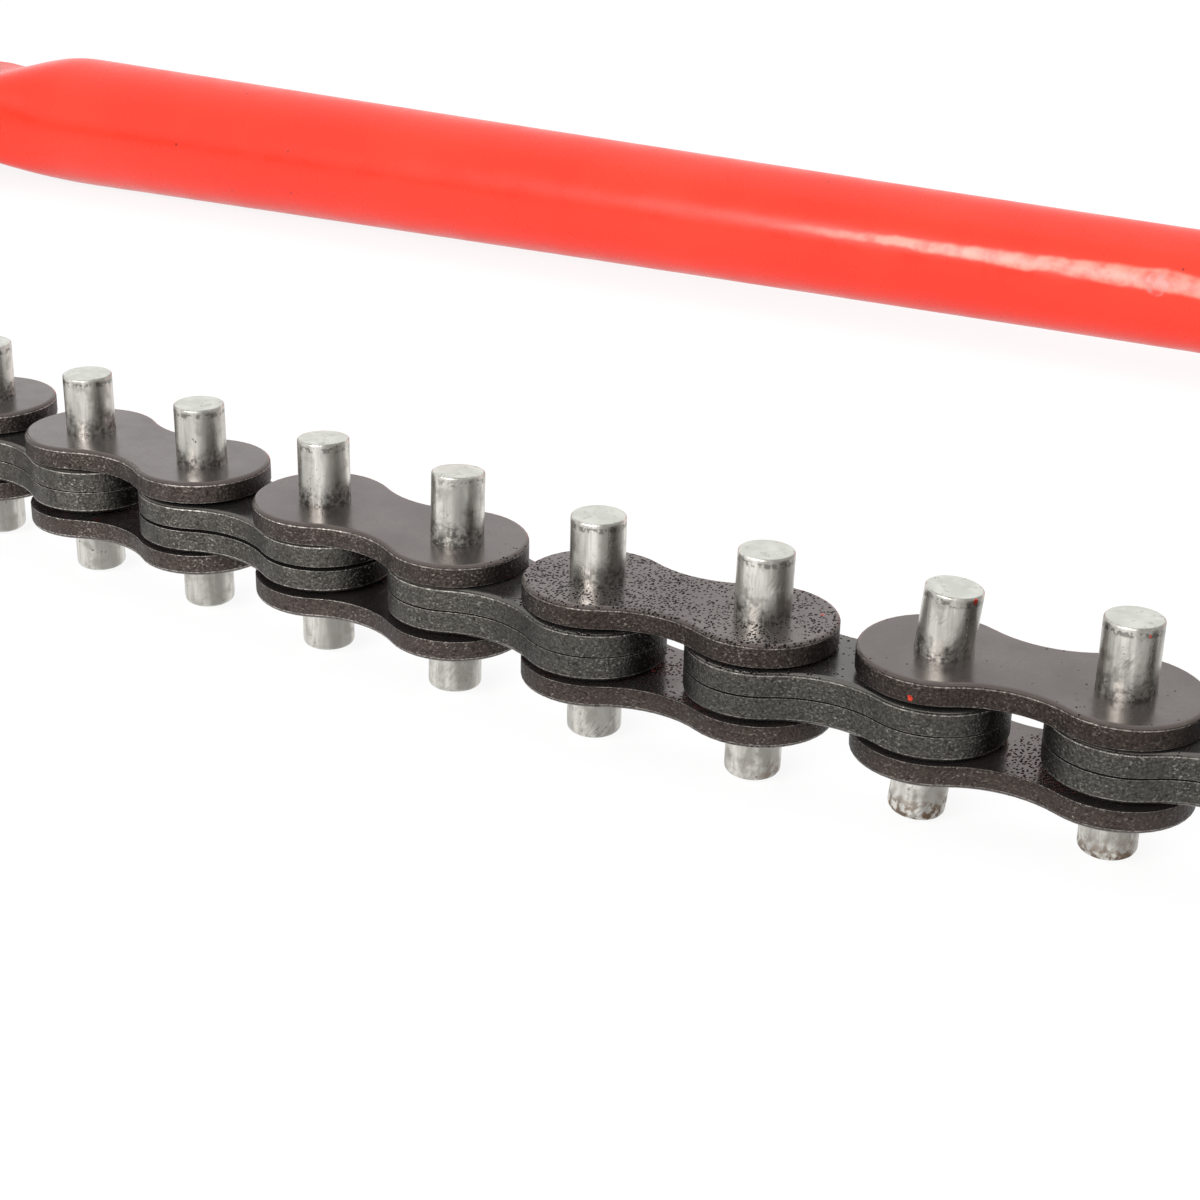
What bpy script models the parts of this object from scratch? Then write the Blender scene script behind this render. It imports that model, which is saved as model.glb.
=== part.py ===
"""Chain pipe wrench, modelled in metres with +Z up.

The handle runs along +X from the jaws to its free end, and the wrench lies flat on its lower jaw.
The origin is on the lower jaw's flat outer face. The leaf chain leaves the shackle on the -Y side.
"""

import math

import bmesh
import bpy
from mathutils import Matrix, Vector

# Chain
CHAIN_PITCH = 0.0254
PIN_DIAMETER = 0.00794
PIN_LENGTH = 0.0334
PIN_CHAMFER = 0.0005
PIN_RISE = 0.0004
PLATE_THICKNESS = 0.0034
PLATE_LOBE_WIDTH = 0.0215
PLATE_WAIST_WIDTH = 0.0148
OUTER_TO_INNER_GAP = 0.00085
SEAM_HEIGHT = 0.0003
SEAM_DEPTH = 0.0007
PIN_FIT_GAP = 0.0003
PIN_RUNNING_GAP = 0.0004
LINK_COUNT = 20

# Rest headings of the links in degrees, from the shackle to the free end, measured from +X
LINK_HEADINGS_DEG = (
    -49.0, -46.5, -43.5, -40.0, -36.0, -31.0, -26.0, -21.5, -17.0, -14.0,
    -12.0, -9.0, -7.5, -6.0, -5.0, -7.5, 1.5, 3.5, 3.0, 6.0,
)

# Head
SEAT_GAP = 0.0003
JAW_THICKNESS = 0.0089
TANG_THICKNESS = 0.0156
TANG_WIDTH = 0.042
TANG_NOSE_X = 0.001
TANG_END_X = 0.060
TANG_OVERLAP = 0.0105
JAW_REAR_X = 0.048
JAW_REAR_WIDTH = 0.036
JAW_SHOULDER_X = -0.018
JAW_SHOULDER_WIDTH = 0.062
JAW_HORN_X = -0.036
HORN_DROP = 0.002
JAW_WIDTH = 0.088
JAW_LOBE_X = -0.067
JAW_TIP_X = -0.077
JAW_TIP_SPREAD = 0.062
SEAT_ROOT_X = -0.046
TOOTH_COUNT = 8
TOOTH_DEPTH = 0.0024
NOTCH_X = -0.0535
NOTCH_WIDTH = 0.0104
NOTCH_SEAT_Y = 0.033
JAW_CORNER_RADIUS = 0.006

# Handle
HANDLE_LENGTH_X = 0.860
HANDLE_NECK_X = 0.098
HANDLE_NECK_DIAMETER = 0.0334
HANDLE_END_DIAMETER = 0.022
HANDLE_END_ROUND = 0.005
HANDLE_TAPER_POWER = 2.1
HANG_HOLE_DIAMETER = 0.010
HANG_HOLE_SETBACK = 0.018

# Fasteners
ANCHOR_X = -0.016
ANCHOR_DIAMETER = 0.0127
ANCHOR_HEAD_DIAMETER = 0.020
ANCHOR_HEAD_HEIGHT = 0.004
ANCHOR_HEAD_TOP_SHARE = 0.7
BOLT_DIAMETER = 0.012
BOLT_XS = (0.0145, 0.038)
SUNK_HEAD_DIAMETER = 0.020
SUNK_HEAD_RECESS = 0.0003
BOLT_PAST_NUT = 0.0025
NUT_ACROSS_FLATS = 0.019
NUT_HEIGHT = 0.010
NUT_CHAMFER = 0.0012
NUT_TOP_INSET = 0.0004
HOLE_FIT_GAP = 0.0003

# Shackle
SHACKLE_LENGTH = 0.074
SHACKLE_HEADING_DEG = -66.0
SHACKLE_EYE_WIDTH = 0.024
SHACKLE_NECK_WIDTH = 0.016
SHACKLE_THICKNESS = 0.0146
TONGUE_CLEARANCE = 0.0022
SHACKLE_SHOULDER_SHARE = 0.36
TONGUE_ROOT_SHARE = 0.5

# Working values of the modelling
CUT_OVERRUN = 0.002
WELD_DISTANCE = 0.000001
TURN_WELD_DISTANCE = 0.00001

# Facets of the round shapes
PIN_SIDES = 16
LOBE_STEPS = 9
WAIST_STEPS = 4
ROUND_SIDES = 24
CORNER_STEPS = 4

# Derived sizes
INNER_PACK_THICKNESS = 2 * PLATE_THICKNESS
OUTER_PLATE_MIDDLE = INNER_PACK_THICKNESS / 2 + OUTER_TO_INNER_GAP + PLATE_THICKNESS / 2
HEAD_THICKNESS = TANG_THICKNESS + 2 * SEAT_GAP + 2 * JAW_THICKNESS
MIDDLE_Z = HEAD_THICKNESS / 2
JAW_MIDDLE = HEAD_THICKNESS / 2 - JAW_THICKNESS / 2
LOBE_RADIUS = PLATE_LOBE_WIDTH / 2
PIN_RADIUS = PIN_DIAMETER / 2
SUNK_HEAD_DEPTH = (SUNK_HEAD_DIAMETER - BOLT_DIAMETER) / 2

# Colours of the finishes, each with its metallic value and roughness
RED_PAINT = ((0.85, 0.055, 0.03), 0.0, 0.3)
FORGED_STEEL = ((0.055, 0.05, 0.048), 0.7, 0.55)
OUTER_PLATE_STEEL = ((0.12, 0.1, 0.095), 0.75, 0.5)
INNER_PLATE_STEEL = ((0.075, 0.075, 0.075), 0.75, 0.5)
ZINC_PIN = ((0.62, 0.63, 0.6), 1.0, 0.28)
ZINC_BOLT = ((0.5, 0.51, 0.49), 1.0, 0.35)


def clear_scene():
    for obj in list(bpy.data.objects):
        bpy.data.objects.remove(obj, do_unlink=True)


def new_collection(name):
    collection = bpy.data.collections.new(name)
    bpy.context.scene.collection.children.link(collection)
    return collection


clear_scene()
PARTS = new_collection("chain_pipe_wrench")
CUTTERS = new_collection("cutters")


def make_material(name, finish):
    colour, metallic, roughness = finish
    material = bpy.data.materials.new(name)
    material.use_nodes = True
    shader = material.node_tree.nodes["Principled BSDF"]
    shader.inputs["Base Color"].default_value = (*colour, 1.0)
    shader.inputs["Metallic"].default_value = metallic
    shader.inputs["Roughness"].default_value = roughness
    return material


def add_object(name, data, collection=PARTS):
    obj = bpy.data.objects.new(name, data)
    collection.objects.link(obj)
    return obj


def add_part(name, mesh, finish, parent=None, place=None):
    """One sub-part with a material of its own, placed by its matrix under a parent."""
    part = add_object(name, mesh)
    part.parent = parent
    if place is not None:
        part.matrix_local = place
    part.data.materials.clear()
    part.data.materials.append(make_material(name + "_finish", finish))
    return part


def arc(centre_x, centre_y, radius, start_deg, end_deg, steps):
    """Points of an arc, both ends included."""
    points = []
    for i in range(steps + 1):
        angle = math.radians(start_deg + (end_deg - start_deg) * i / steps)
        points.append((centre_x + radius * math.cos(angle), centre_y + radius * math.sin(angle)))
    return points


def circle(centre_x, centre_y, radius, sides):
    return arc(centre_x, centre_y, radius, 0, 360, sides)[:-1]


def flat_mesh(name, outline, holes, thickness):
    """A flat shape with holes, centred on z = 0, from a 2D curve."""
    curve = bpy.data.curves.new(name, "CURVE")
    curve.dimensions = "2D"
    curve.fill_mode = "BOTH"
    curve.extrude = thickness / 2
    for points in (outline, *holes):
        spline = curve.splines.new("POLY")
        spline.points.add(len(points) - 1)
        for point, (x, y) in zip(spline.points, points):
            point.co = (x, y, 0, 1)
        spline.use_cyclic_u = True
    source = add_object(name, curve, CUTTERS)
    graph = bpy.context.evaluated_depsgraph_get()
    mesh = bpy.data.meshes.new_from_object(source.evaluated_get(graph))
    bpy.data.objects.remove(source, do_unlink=True)
    shape = bmesh.new()
    shape.from_mesh(mesh)
    bmesh.ops.remove_doubles(shape, verts=shape.verts, dist=WELD_DISTANCE)
    bmesh.ops.recalc_face_normals(shape, faces=shape.faces)
    shape.to_mesh(mesh)
    shape.free()
    mesh.name = name
    return mesh


def turned_mesh(name, profile, sides):
    """A solid of revolution about Z from a profile of (radius, z) points, top to bottom."""
    mesh = bpy.data.meshes.new(name)
    edges = [(i, i + 1) for i in range(len(profile) - 1)]
    mesh.from_pydata([(radius, 0, z) for radius, z in profile], edges, [])
    source = add_object(name, mesh, CUTTERS)
    screw = source.modifiers.new("turn", "SCREW")
    screw.steps = sides
    screw.render_steps = sides
    screw.use_merge_vertices = True
    screw.merge_threshold = TURN_WELD_DISTANCE
    graph = bpy.context.evaluated_depsgraph_get()
    turned = bpy.data.meshes.new_from_object(source.evaluated_get(graph))
    bpy.data.objects.remove(source, do_unlink=True)
    turned.name = name
    turned.shade_smooth()
    turned.set_sharp_from_angle(angle=math.radians(30))
    return turned


def combine(name, base, tool, operation):
    """The boolean of two meshes in one place, as a new mesh."""
    body = add_object(name, base, CUTTERS)
    cutter = add_object(name + "_tool", tool, CUTTERS)
    cutter.hide_render = True
    cutter.display_type = "WIRE"
    boolean = body.modifiers.new(operation.lower(), "BOOLEAN")
    boolean.operation = operation
    boolean.solver = "EXACT"
    boolean.object = cutter
    graph = bpy.context.evaluated_depsgraph_get()
    result = bpy.data.meshes.new_from_object(body.evaluated_get(graph))
    bpy.data.objects.remove(body, do_unlink=True)
    bpy.data.objects.remove(cutter, do_unlink=True)
    result.name = name
    return result


def moved(mesh, x=0.0, y=0.0, z=0.0):
    """A copy of a mesh, shifted."""
    copy = mesh.copy()
    copy.transform(Matrix.Translation((x, y, z)))
    return copy


# Chain plates

def plate_outline(inset):
    """Peanut outline of a link plate from the pin at x = 0 to the pin at one pitch.

    Round lobes about both pins run into the waist through concave arcs tangent to them.
    """
    lobe = LOBE_RADIUS - inset
    half_waist = PLATE_WAIST_WIDTH / 2 - inset
    half_pitch = CHAIN_PITCH / 2
    waist_radius = (half_pitch**2 + half_waist**2 - lobe**2) / (2 * (lobe - half_waist))
    waist_centre = half_waist + waist_radius
    meet = math.degrees(math.atan2(waist_centre, half_pitch))
    points = arc(0, 0, lobe, meet, 360 - meet, LOBE_STEPS)
    points += arc(half_pitch, -waist_centre, waist_radius, 180 - meet, meet, WAIST_STEPS)[1:-1]
    points += arc(CHAIN_PITCH, 0, lobe, meet - 180, 180 - meet, LOBE_STEPS)
    points += arc(half_pitch, waist_centre, waist_radius, -meet, meet - 180, WAIST_STEPS)[1:-1]
    return points


def plate_mesh(name, thickness, hole_radius):
    holes = [circle(x, 0, hole_radius, PIN_SIDES) for x in (0, CHAIN_PITCH)]
    return flat_mesh(name, plate_outline(0), holes, thickness)


def inner_pack_mesh():
    """Two plates that lie on each other, with the seam between them cut as a fine groove."""
    pack = plate_mesh("inner_pack", INNER_PACK_THICKNESS, PIN_RADIUS + PIN_RUNNING_GAP)
    beyond = plate_outline(-CUT_OVERRUN)
    seam_tool = flat_mesh("seam_tool", beyond, [plate_outline(SEAM_DEPTH)], SEAM_HEIGHT)
    return combine("inner_pack", pack, seam_tool, "DIFFERENCE")


def pin_mesh():
    half = PIN_LENGTH / 2
    profile = [
        (0, half),
        (PIN_RADIUS - PIN_CHAMFER, half),
        (PIN_RADIUS, half - PIN_CHAMFER),
        (PIN_RADIUS, PIN_CHAMFER - half),
        (PIN_RADIUS - PIN_CHAMFER, -half),
        (0, -half),
    ]
    return turned_mesh("chain_pin", profile, PIN_SIDES)


def add_pivot(name, x, y, heading_deg):
    """An empty on a joint's axis. What moves with the joint is its child."""
    pivot = add_object(name, None)
    pivot.matrix_world = Matrix.Translation((x, y, MIDDLE_Z)) @ Matrix.Rotation(
        math.radians(heading_deg), 4, "Z"
    )
    return pivot


def build_chain(start_x, start_y):
    """Outer links of two plates and two long pins in turn with inner links of two stacked plates."""
    outer_mesh = plate_mesh("outer_plate", PLATE_THICKNESS, PIN_RADIUS + PIN_FIT_GAP)
    inner_mesh = inner_pack_mesh()
    long_pin = pin_mesh()
    x, y = start_x, start_y
    for number in range(1, LINK_COUNT + 1):
        heading = LINK_HEADINGS_DEG[number - 1]
        pivot = add_pivot(f"link_{number:02d}_pivot", x, y, heading)
        near_end = Matrix.Translation((0, 0, PIN_RISE))
        far_end = Matrix.Translation((CHAIN_PITCH, 0, PIN_RISE))
        if number % 2:
            for side, sign in (("upper", 1), ("lower", -1)):
                place = Matrix.Translation((0, 0, sign * OUTER_PLATE_MIDDLE))
                name = f"outer_plate_{side}_{number:02d}"
                add_part(name, outer_mesh.copy(), OUTER_PLATE_STEEL, pivot, place)
            add_part(f"pin_{number - 1:02d}", long_pin.copy(), ZINC_PIN, pivot, near_end)
            add_part(f"pin_{number:02d}", long_pin.copy(), ZINC_PIN, pivot, far_end)
        else:
            add_part(f"inner_plates_{number:02d}", inner_mesh.copy(), INNER_PLATE_STEEL, pivot, Matrix())
            if number == LINK_COUNT:
                add_part(f"pin_{number:02d}", long_pin.copy(), ZINC_PIN, pivot, far_end)
        x += CHAIN_PITCH * math.cos(math.radians(heading))
        y += CHAIN_PITCH * math.sin(math.radians(heading))


# Jaws

def jaw_half_outline():
    """The +Y half of a jaw from the root of the toothed seat round to the rear end."""
    half_tip = JAW_TIP_SPREAD / 2
    half_width = JAW_WIDTH / 2
    half_notch = NOTCH_WIDTH / 2
    edge = Vector((JAW_TIP_X - SEAT_ROOT_X, half_tip))
    into_jaw = Vector((edge.y, -edge.x)).normalized()
    points = [(SEAT_ROOT_X, 0)]
    for tooth in range(TOOTH_COUNT):
        peak = Vector((SEAT_ROOT_X, 0)) + edge * (tooth + 1) / TOOTH_COUNT
        valley = peak - edge / (2 * TOOTH_COUNT) + into_jaw * TOOTH_DEPTH
        points.append(tuple(valley))
        points.append(tuple(peak))
    points += arc(
        JAW_LOBE_X, half_width - JAW_CORNER_RADIUS, JAW_CORNER_RADIUS, 150, 90, CORNER_STEPS
    )
    points.append((NOTCH_X - half_notch, half_width))
    points += arc(NOTCH_X, NOTCH_SEAT_Y, half_notch, 180, 360, 2 * CORNER_STEPS)
    points.append((NOTCH_X + half_notch, half_width - HORN_DROP))
    horn_y = half_width - HORN_DROP - JAW_CORNER_RADIUS
    points += arc(JAW_HORN_X - JAW_CORNER_RADIUS, horn_y, JAW_CORNER_RADIUS, 90, 40, CORNER_STEPS)
    points.append((JAW_SHOULDER_X, JAW_SHOULDER_WIDTH / 2))
    rear_y = JAW_REAR_WIDTH / 2 - JAW_CORNER_RADIUS
    points += arc(JAW_REAR_X - JAW_CORNER_RADIUS, rear_y, JAW_CORNER_RADIUS, 84, 0, CORNER_STEPS)
    return points


def jaw_mesh(name, bolt_xs):
    half = jaw_half_outline()
    mirrored = [(x, -y) for x, y in reversed(half[1:])]
    holes = [circle(ANCHOR_X, 0, ANCHOR_DIAMETER / 2 + HOLE_FIT_GAP, ROUND_SIDES)]
    for x in bolt_xs:
        holes.append(circle(x, 0, BOLT_DIAMETER / 2 + HOLE_FIT_GAP, ROUND_SIDES))
    return flat_mesh(name, half + mirrored, holes, JAW_THICKNESS)


def sunk_drill():
    """Cuts a bolt's hole with a countersunk lower mouth through a jaw that lies on z = 0."""
    bore = BOLT_DIAMETER / 2 + HOLE_FIT_GAP
    reach = SUNK_HEAD_DIAMETER / 2 + HOLE_FIT_GAP
    profile = [
        (0, JAW_THICKNESS + CUT_OVERRUN),
        (bore, JAW_THICKNESS + CUT_OVERRUN),
        (bore, SUNK_HEAD_DEPTH + HOLE_FIT_GAP),
        (reach, HOLE_FIT_GAP),
        (reach, -CUT_OVERRUN),
        (0, -CUT_OVERRUN),
    ]
    return turned_mesh("bolt_drill", profile, ROUND_SIDES)


def build_jaws():
    upper = moved(jaw_mesh("jaw_upper", BOLT_XS), z=MIDDLE_Z + JAW_MIDDLE)
    add_part("jaw_upper", upper, FORGED_STEEL)
    lower = moved(jaw_mesh("jaw_lower", ()), z=MIDDLE_Z - JAW_MIDDLE)
    for x in BOLT_XS:
        lower = combine("jaw_lower", lower, moved(sunk_drill(), x=x), "DIFFERENCE")
    add_part("jaw_lower", lower, FORGED_STEEL)


# Handle

def handle_radius(x):
    """Half the round handle's diameter, which shrinks fast near the neck and slowly near the end."""
    along = (x - HANDLE_NECK_X) / (HANDLE_LENGTH_X - HANDLE_NECK_X)
    share = (1 - along) ** HANDLE_TAPER_POWER
    return (HANDLE_END_DIAMETER + (HANDLE_NECK_DIAMETER - HANDLE_END_DIAMETER) * share) / 2


def section(half_width, half_height, squareness):
    """A ring between an ellipse and a rectangle. A squareness of 2 is the ellipse."""
    ring = []
    for i in range(ROUND_SIDES):
        angle = 2 * math.pi * (i + 0.5) / ROUND_SIDES
        c, s = math.cos(angle), math.sin(angle)
        y = math.copysign(abs(c) ** (2 / squareness), c) * half_width
        z = math.copysign(abs(s) ** (2 / squareness), s) * half_height
        ring.append((y, z))
    return ring


def bar_mesh():
    """The forged bar: a flat foot inside the tang swells into the round neck and tapers to its end."""
    neck = HANDLE_NECK_DIAMETER / 2
    foot_x = TANG_END_X - TANG_OVERLAP
    foot_width = TANG_WIDTH / 2 - SEAT_GAP
    foot_height = TANG_THICKNESS / 2 - SEAT_GAP
    stations = [(foot_x, section(foot_width, foot_height, 8))]
    swell_shares = ((0.22, 9.0), (0.45, 5.0), (0.7, 3.0), (0.88, 2.3))
    for share, squareness in swell_shares:
        x = foot_x + (HANDLE_NECK_X - foot_x) * share
        ease = share * share * (3 - 2 * share)
        width = foot_width + (neck - foot_width) * ease
        height = foot_height + (neck - foot_height) * ease
        stations.append((x, section(width, height, squareness)))
    straight_end = HANDLE_LENGTH_X - HANDLE_END_ROUND
    taper_steps = 9
    for i in range(taper_steps + 1):
        x = HANDLE_NECK_X + (straight_end - HANDLE_NECK_X) * i / taper_steps
        stations.append((x, section(handle_radius(x), handle_radius(x), 2)))
    end_radius = handle_radius(straight_end)
    for angle in (35, 65):
        x = straight_end + HANDLE_END_ROUND * math.sin(math.radians(angle))
        radius = end_radius - HANDLE_END_ROUND * (1 - math.cos(math.radians(angle)))
        stations.append((x, section(radius, radius, 2)))
    shape = bmesh.new()
    rings = []
    for x, ring in stations:
        rings.append([shape.verts.new((x, y, z)) for y, z in ring])
    for near, far in zip(rings, rings[1:]):
        for i in range(ROUND_SIDES):
            j = (i + 1) % ROUND_SIDES
            shape.faces.new((near[i], near[j], far[j], far[i]))
    shape.faces.new(reversed(rings[0]))
    shape.faces.new(rings[-1])
    bmesh.ops.recalc_face_normals(shape, faces=shape.faces)
    mesh = bpy.data.meshes.new("handle_bar")
    shape.to_mesh(mesh)
    shape.free()
    return mesh


def tang_mesh():
    """The flat end of the handle, with a round nose and the holes for both bolts."""
    half = TANG_WIDTH / 2
    nose = arc(TANG_NOSE_X + half, 0, half, 90, 270, 3 * CORNER_STEPS)
    outline = [*nose, (TANG_END_X, -half), (TANG_END_X, half)]
    holes = [circle(x, 0, BOLT_DIAMETER / 2 + HOLE_FIT_GAP, ROUND_SIDES) for x in BOLT_XS]
    return flat_mesh("handle_tang", outline, holes, TANG_THICKNESS)


def build_handle():
    body = combine("handle", tang_mesh(), bar_mesh(), "UNION")
    drill_half = HANDLE_END_DIAMETER / 2 + CUT_OVERRUN
    drill_profile = [
        (0, drill_half),
        (HANG_HOLE_DIAMETER / 2, drill_half),
        (HANG_HOLE_DIAMETER / 2, -drill_half),
        (0, -drill_half),
    ]
    drill = moved(turned_mesh("hang_drill", drill_profile, PIN_SIDES), x=HANDLE_LENGTH_X - HANG_HOLE_SETBACK)
    body = combine("handle", body, drill, "DIFFERENCE")
    body.shade_smooth()
    body.set_sharp_from_angle(angle=math.radians(35))
    add_part("handle", moved(body, z=MIDDLE_Z), RED_PAINT)


# Fasteners of the head

def build_fasteners():
    top = HEAD_THICKNESS + SEAT_GAP
    bolt_top = top + NUT_HEIGHT + BOLT_PAST_NUT
    bolt_radius = BOLT_DIAMETER / 2
    bolt_profile = [
        (0, bolt_top),
        (bolt_radius - PIN_CHAMFER, bolt_top),
        (bolt_radius, bolt_top - PIN_CHAMFER),
        (bolt_radius, SUNK_HEAD_RECESS + SUNK_HEAD_DEPTH),
        (SUNK_HEAD_DIAMETER / 2, SUNK_HEAD_RECESS),
        (0, SUNK_HEAD_RECESS),
    ]
    bolt = turned_mesh("jaw_bolt", bolt_profile, ROUND_SIDES)
    nut = nut_mesh()
    for number, x in enumerate(BOLT_XS, start=1):
        add_part(f"jaw_bolt_{number}", moved(bolt, x=x), ZINC_BOLT)
        add_part(f"jaw_nut_{number}", moved(nut, x=x, z=top + NUT_HEIGHT / 2), ZINC_BOLT)
    pin_radius = ANCHOR_DIAMETER / 2
    head_radius = ANCHOR_HEAD_DIAMETER / 2
    anchor_profile = [
        (0, top + ANCHOR_HEAD_HEIGHT),
        (head_radius * ANCHOR_HEAD_TOP_SHARE, top + ANCHOR_HEAD_HEIGHT),
        (head_radius, top + ANCHOR_HEAD_HEIGHT / 2),
        (head_radius, top),
        (pin_radius, top),
        (pin_radius, SUNK_HEAD_RECESS),
        (0, SUNK_HEAD_RECESS),
    ]
    anchor = turned_mesh("anchor_pin", anchor_profile, ROUND_SIDES)
    add_part("anchor_pin", moved(anchor, x=ANCHOR_X), ZINC_BOLT)


def nut_mesh():
    """A hexagon nut: the hexagon cut by the cone that chamfers its corners, and its hole."""
    corner_radius = NUT_ACROSS_FLATS / math.sqrt(3)
    hole = circle(0, 0, BOLT_DIAMETER / 2 + HOLE_FIT_GAP, ROUND_SIDES)
    hexagon = flat_mesh("nut_hexagon", circle(0, 0, corner_radius, 6), [hole], NUT_HEIGHT)
    half = NUT_HEIGHT / 2 + CUT_OVERRUN
    cone_top = NUT_ACROSS_FLATS / 2 - NUT_TOP_INSET
    cone_foot = corner_radius + CUT_OVERRUN
    slope = NUT_CHAMFER / (corner_radius - cone_top)
    profile = [
        (0, NUT_HEIGHT / 2),
        (cone_top, NUT_HEIGHT / 2),
        (cone_foot, NUT_HEIGHT / 2 - slope * (cone_foot - cone_top)),
        (cone_foot, -half),
        (0, -half),
    ]
    return combine("jaw_nut", hexagon, turned_mesh("nut_cone", profile, ROUND_SIDES), "INTERSECT")


# Shackle

def shackle_mesh():
    """A forged bar with an eye on the anchor pin and a thin tongue between the first outer plates."""
    eye = SHACKLE_EYE_WIDTH / 2
    neck = SHACKLE_NECK_WIDTH / 2
    step_x = SHACKLE_LENGTH - LOBE_RADIUS - TONGUE_CLEARANCE
    thick = arc(0, 0, eye, 52, 308, 3 * CORNER_STEPS)
    shoulder_x = SHACKLE_LENGTH * SHACKLE_SHOULDER_SHARE
    thick += [(shoulder_x, -neck), (step_x, -neck), (step_x, neck), (shoulder_x, neck)]
    eye_hole = circle(0, 0, ANCHOR_DIAMETER / 2 + PIN_RUNNING_GAP, ROUND_SIDES)
    bar = flat_mesh("shackle_bar", thick, [eye_hole], SHACKLE_THICKNESS)
    root_x = SHACKLE_LENGTH * TONGUE_ROOT_SHARE
    half_root = neck - SEAM_DEPTH
    tongue = arc(SHACKLE_LENGTH, 0, LOBE_RADIUS, -125, 125, LOBE_STEPS)
    tongue += [(root_x, half_root), (root_x, -half_root)]
    pin_hole = circle(SHACKLE_LENGTH, 0, PIN_RADIUS + PIN_RUNNING_GAP, PIN_SIDES)
    blade = flat_mesh("shackle_tongue", tongue, [pin_hole], INNER_PACK_THICKNESS)
    return combine("shackle", bar, blade, "UNION")


def build_shackle():
    pivot = add_pivot("shackle_pivot", ANCHOR_X, 0, SHACKLE_HEADING_DEG)
    add_part("shackle", shackle_mesh(), FORGED_STEEL, pivot, Matrix())
    heading = math.radians(SHACKLE_HEADING_DEG)
    chain_x = ANCHOR_X + SHACKLE_LENGTH * math.cos(heading)
    chain_y = SHACKLE_LENGTH * math.sin(heading)
    return chain_x, chain_y


build_handle()
build_jaws()
build_fasteners()
build_chain(*build_shackle())
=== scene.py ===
# %% [markdown]
# # A chain pipe wrench
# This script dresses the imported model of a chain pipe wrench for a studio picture.
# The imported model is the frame: it says where each piece is and what moves with what.
# The first cell loads it and keeps the size of the plain model, so that the end can compare the two.

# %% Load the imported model
import math

import bmesh
import bpy
from mathutils import Matrix, Vector


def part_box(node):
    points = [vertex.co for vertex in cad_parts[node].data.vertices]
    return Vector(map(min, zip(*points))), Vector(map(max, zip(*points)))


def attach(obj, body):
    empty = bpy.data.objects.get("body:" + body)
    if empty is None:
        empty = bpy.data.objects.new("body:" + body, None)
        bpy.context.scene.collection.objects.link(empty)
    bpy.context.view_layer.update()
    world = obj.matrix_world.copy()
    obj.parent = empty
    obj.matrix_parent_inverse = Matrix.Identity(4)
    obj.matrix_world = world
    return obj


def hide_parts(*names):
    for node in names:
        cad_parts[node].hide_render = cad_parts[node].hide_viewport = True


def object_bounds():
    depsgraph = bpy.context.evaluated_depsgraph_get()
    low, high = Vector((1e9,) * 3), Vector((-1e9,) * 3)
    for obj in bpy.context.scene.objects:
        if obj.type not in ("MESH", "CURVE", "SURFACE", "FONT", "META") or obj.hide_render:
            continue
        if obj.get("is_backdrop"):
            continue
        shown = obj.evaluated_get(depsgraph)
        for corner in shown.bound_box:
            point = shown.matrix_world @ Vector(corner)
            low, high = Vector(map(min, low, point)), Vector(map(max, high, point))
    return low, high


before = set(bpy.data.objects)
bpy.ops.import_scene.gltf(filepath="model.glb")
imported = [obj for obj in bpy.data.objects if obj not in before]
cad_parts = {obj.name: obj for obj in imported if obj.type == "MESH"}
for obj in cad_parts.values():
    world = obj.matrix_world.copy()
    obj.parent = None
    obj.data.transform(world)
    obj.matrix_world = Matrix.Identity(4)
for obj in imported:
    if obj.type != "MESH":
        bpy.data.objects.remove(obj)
plain_low, plain_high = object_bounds()

# %% [markdown]
# ## Sizes that the pieces share
# A leaf chain has one pitch, the distance from pin to pin, and everything else follows from it.
# The places of the pins come from the frame. The other sizes are the ones that the part was made with.

# %% Sizes in metres
PITCH = 0.0254
PIN_RADIUS = 0.00397
PLATE_THICKNESS = 0.0034
LOBE_RADIUS = 0.01075
HALF_WAIST = 0.0074
INNER_TO_OUTER = 0.00085
JAW_THICKNESS = 0.0089
TANG_THICKNESS = 0.0156
SEAT_GAP = 0.0003
ANCHOR_X = -0.016
ANCHOR_RADIUS = 0.00635
BOLT_XS = (0.0145, 0.038)
BOLT_RADIUS = 0.006
HOLE_GAP = 0.0003
LINKS = 20

pin_places = []
for number in range(LINKS + 1):
    low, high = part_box(f"pin_{number:02d}")
    pin_places.append((low + high) / 2)
PIN_LENGTH = high.z - low.z
MIDDLE_Z = TANG_THICKNESS / 2 + SEAT_GAP + JAW_THICKNESS
HEAD_TOP = 2 * MIDDLE_Z
print(f"pins: {len(pin_places)}, length {PIN_LENGTH * 1000:.1f} mm, middle at {MIDDLE_Z * 1000:.1f} mm")

# %% [markdown]
# ## The camera
# The photograph looks down on the chain from the side of its free end, with a long lens.
# The place, the direction and a slight roll come from lining up the pins with the photograph.
# An object's matrix holds its right, up and backward directions, so the camera needs no constraint.

# %% Camera
def put_in_scene(name, data):
    thing = bpy.data.objects.new(name, data)
    bpy.context.scene.collection.objects.link(thing)
    return thing


CAMERA_PLACE = (0.517367, -0.488514, 0.152760)
CAMERA_DIRECTION = (-0.431234, 0.809110, -0.399222)
CAMERA_ROLL = -1.3713
LENS = 69.66

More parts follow.
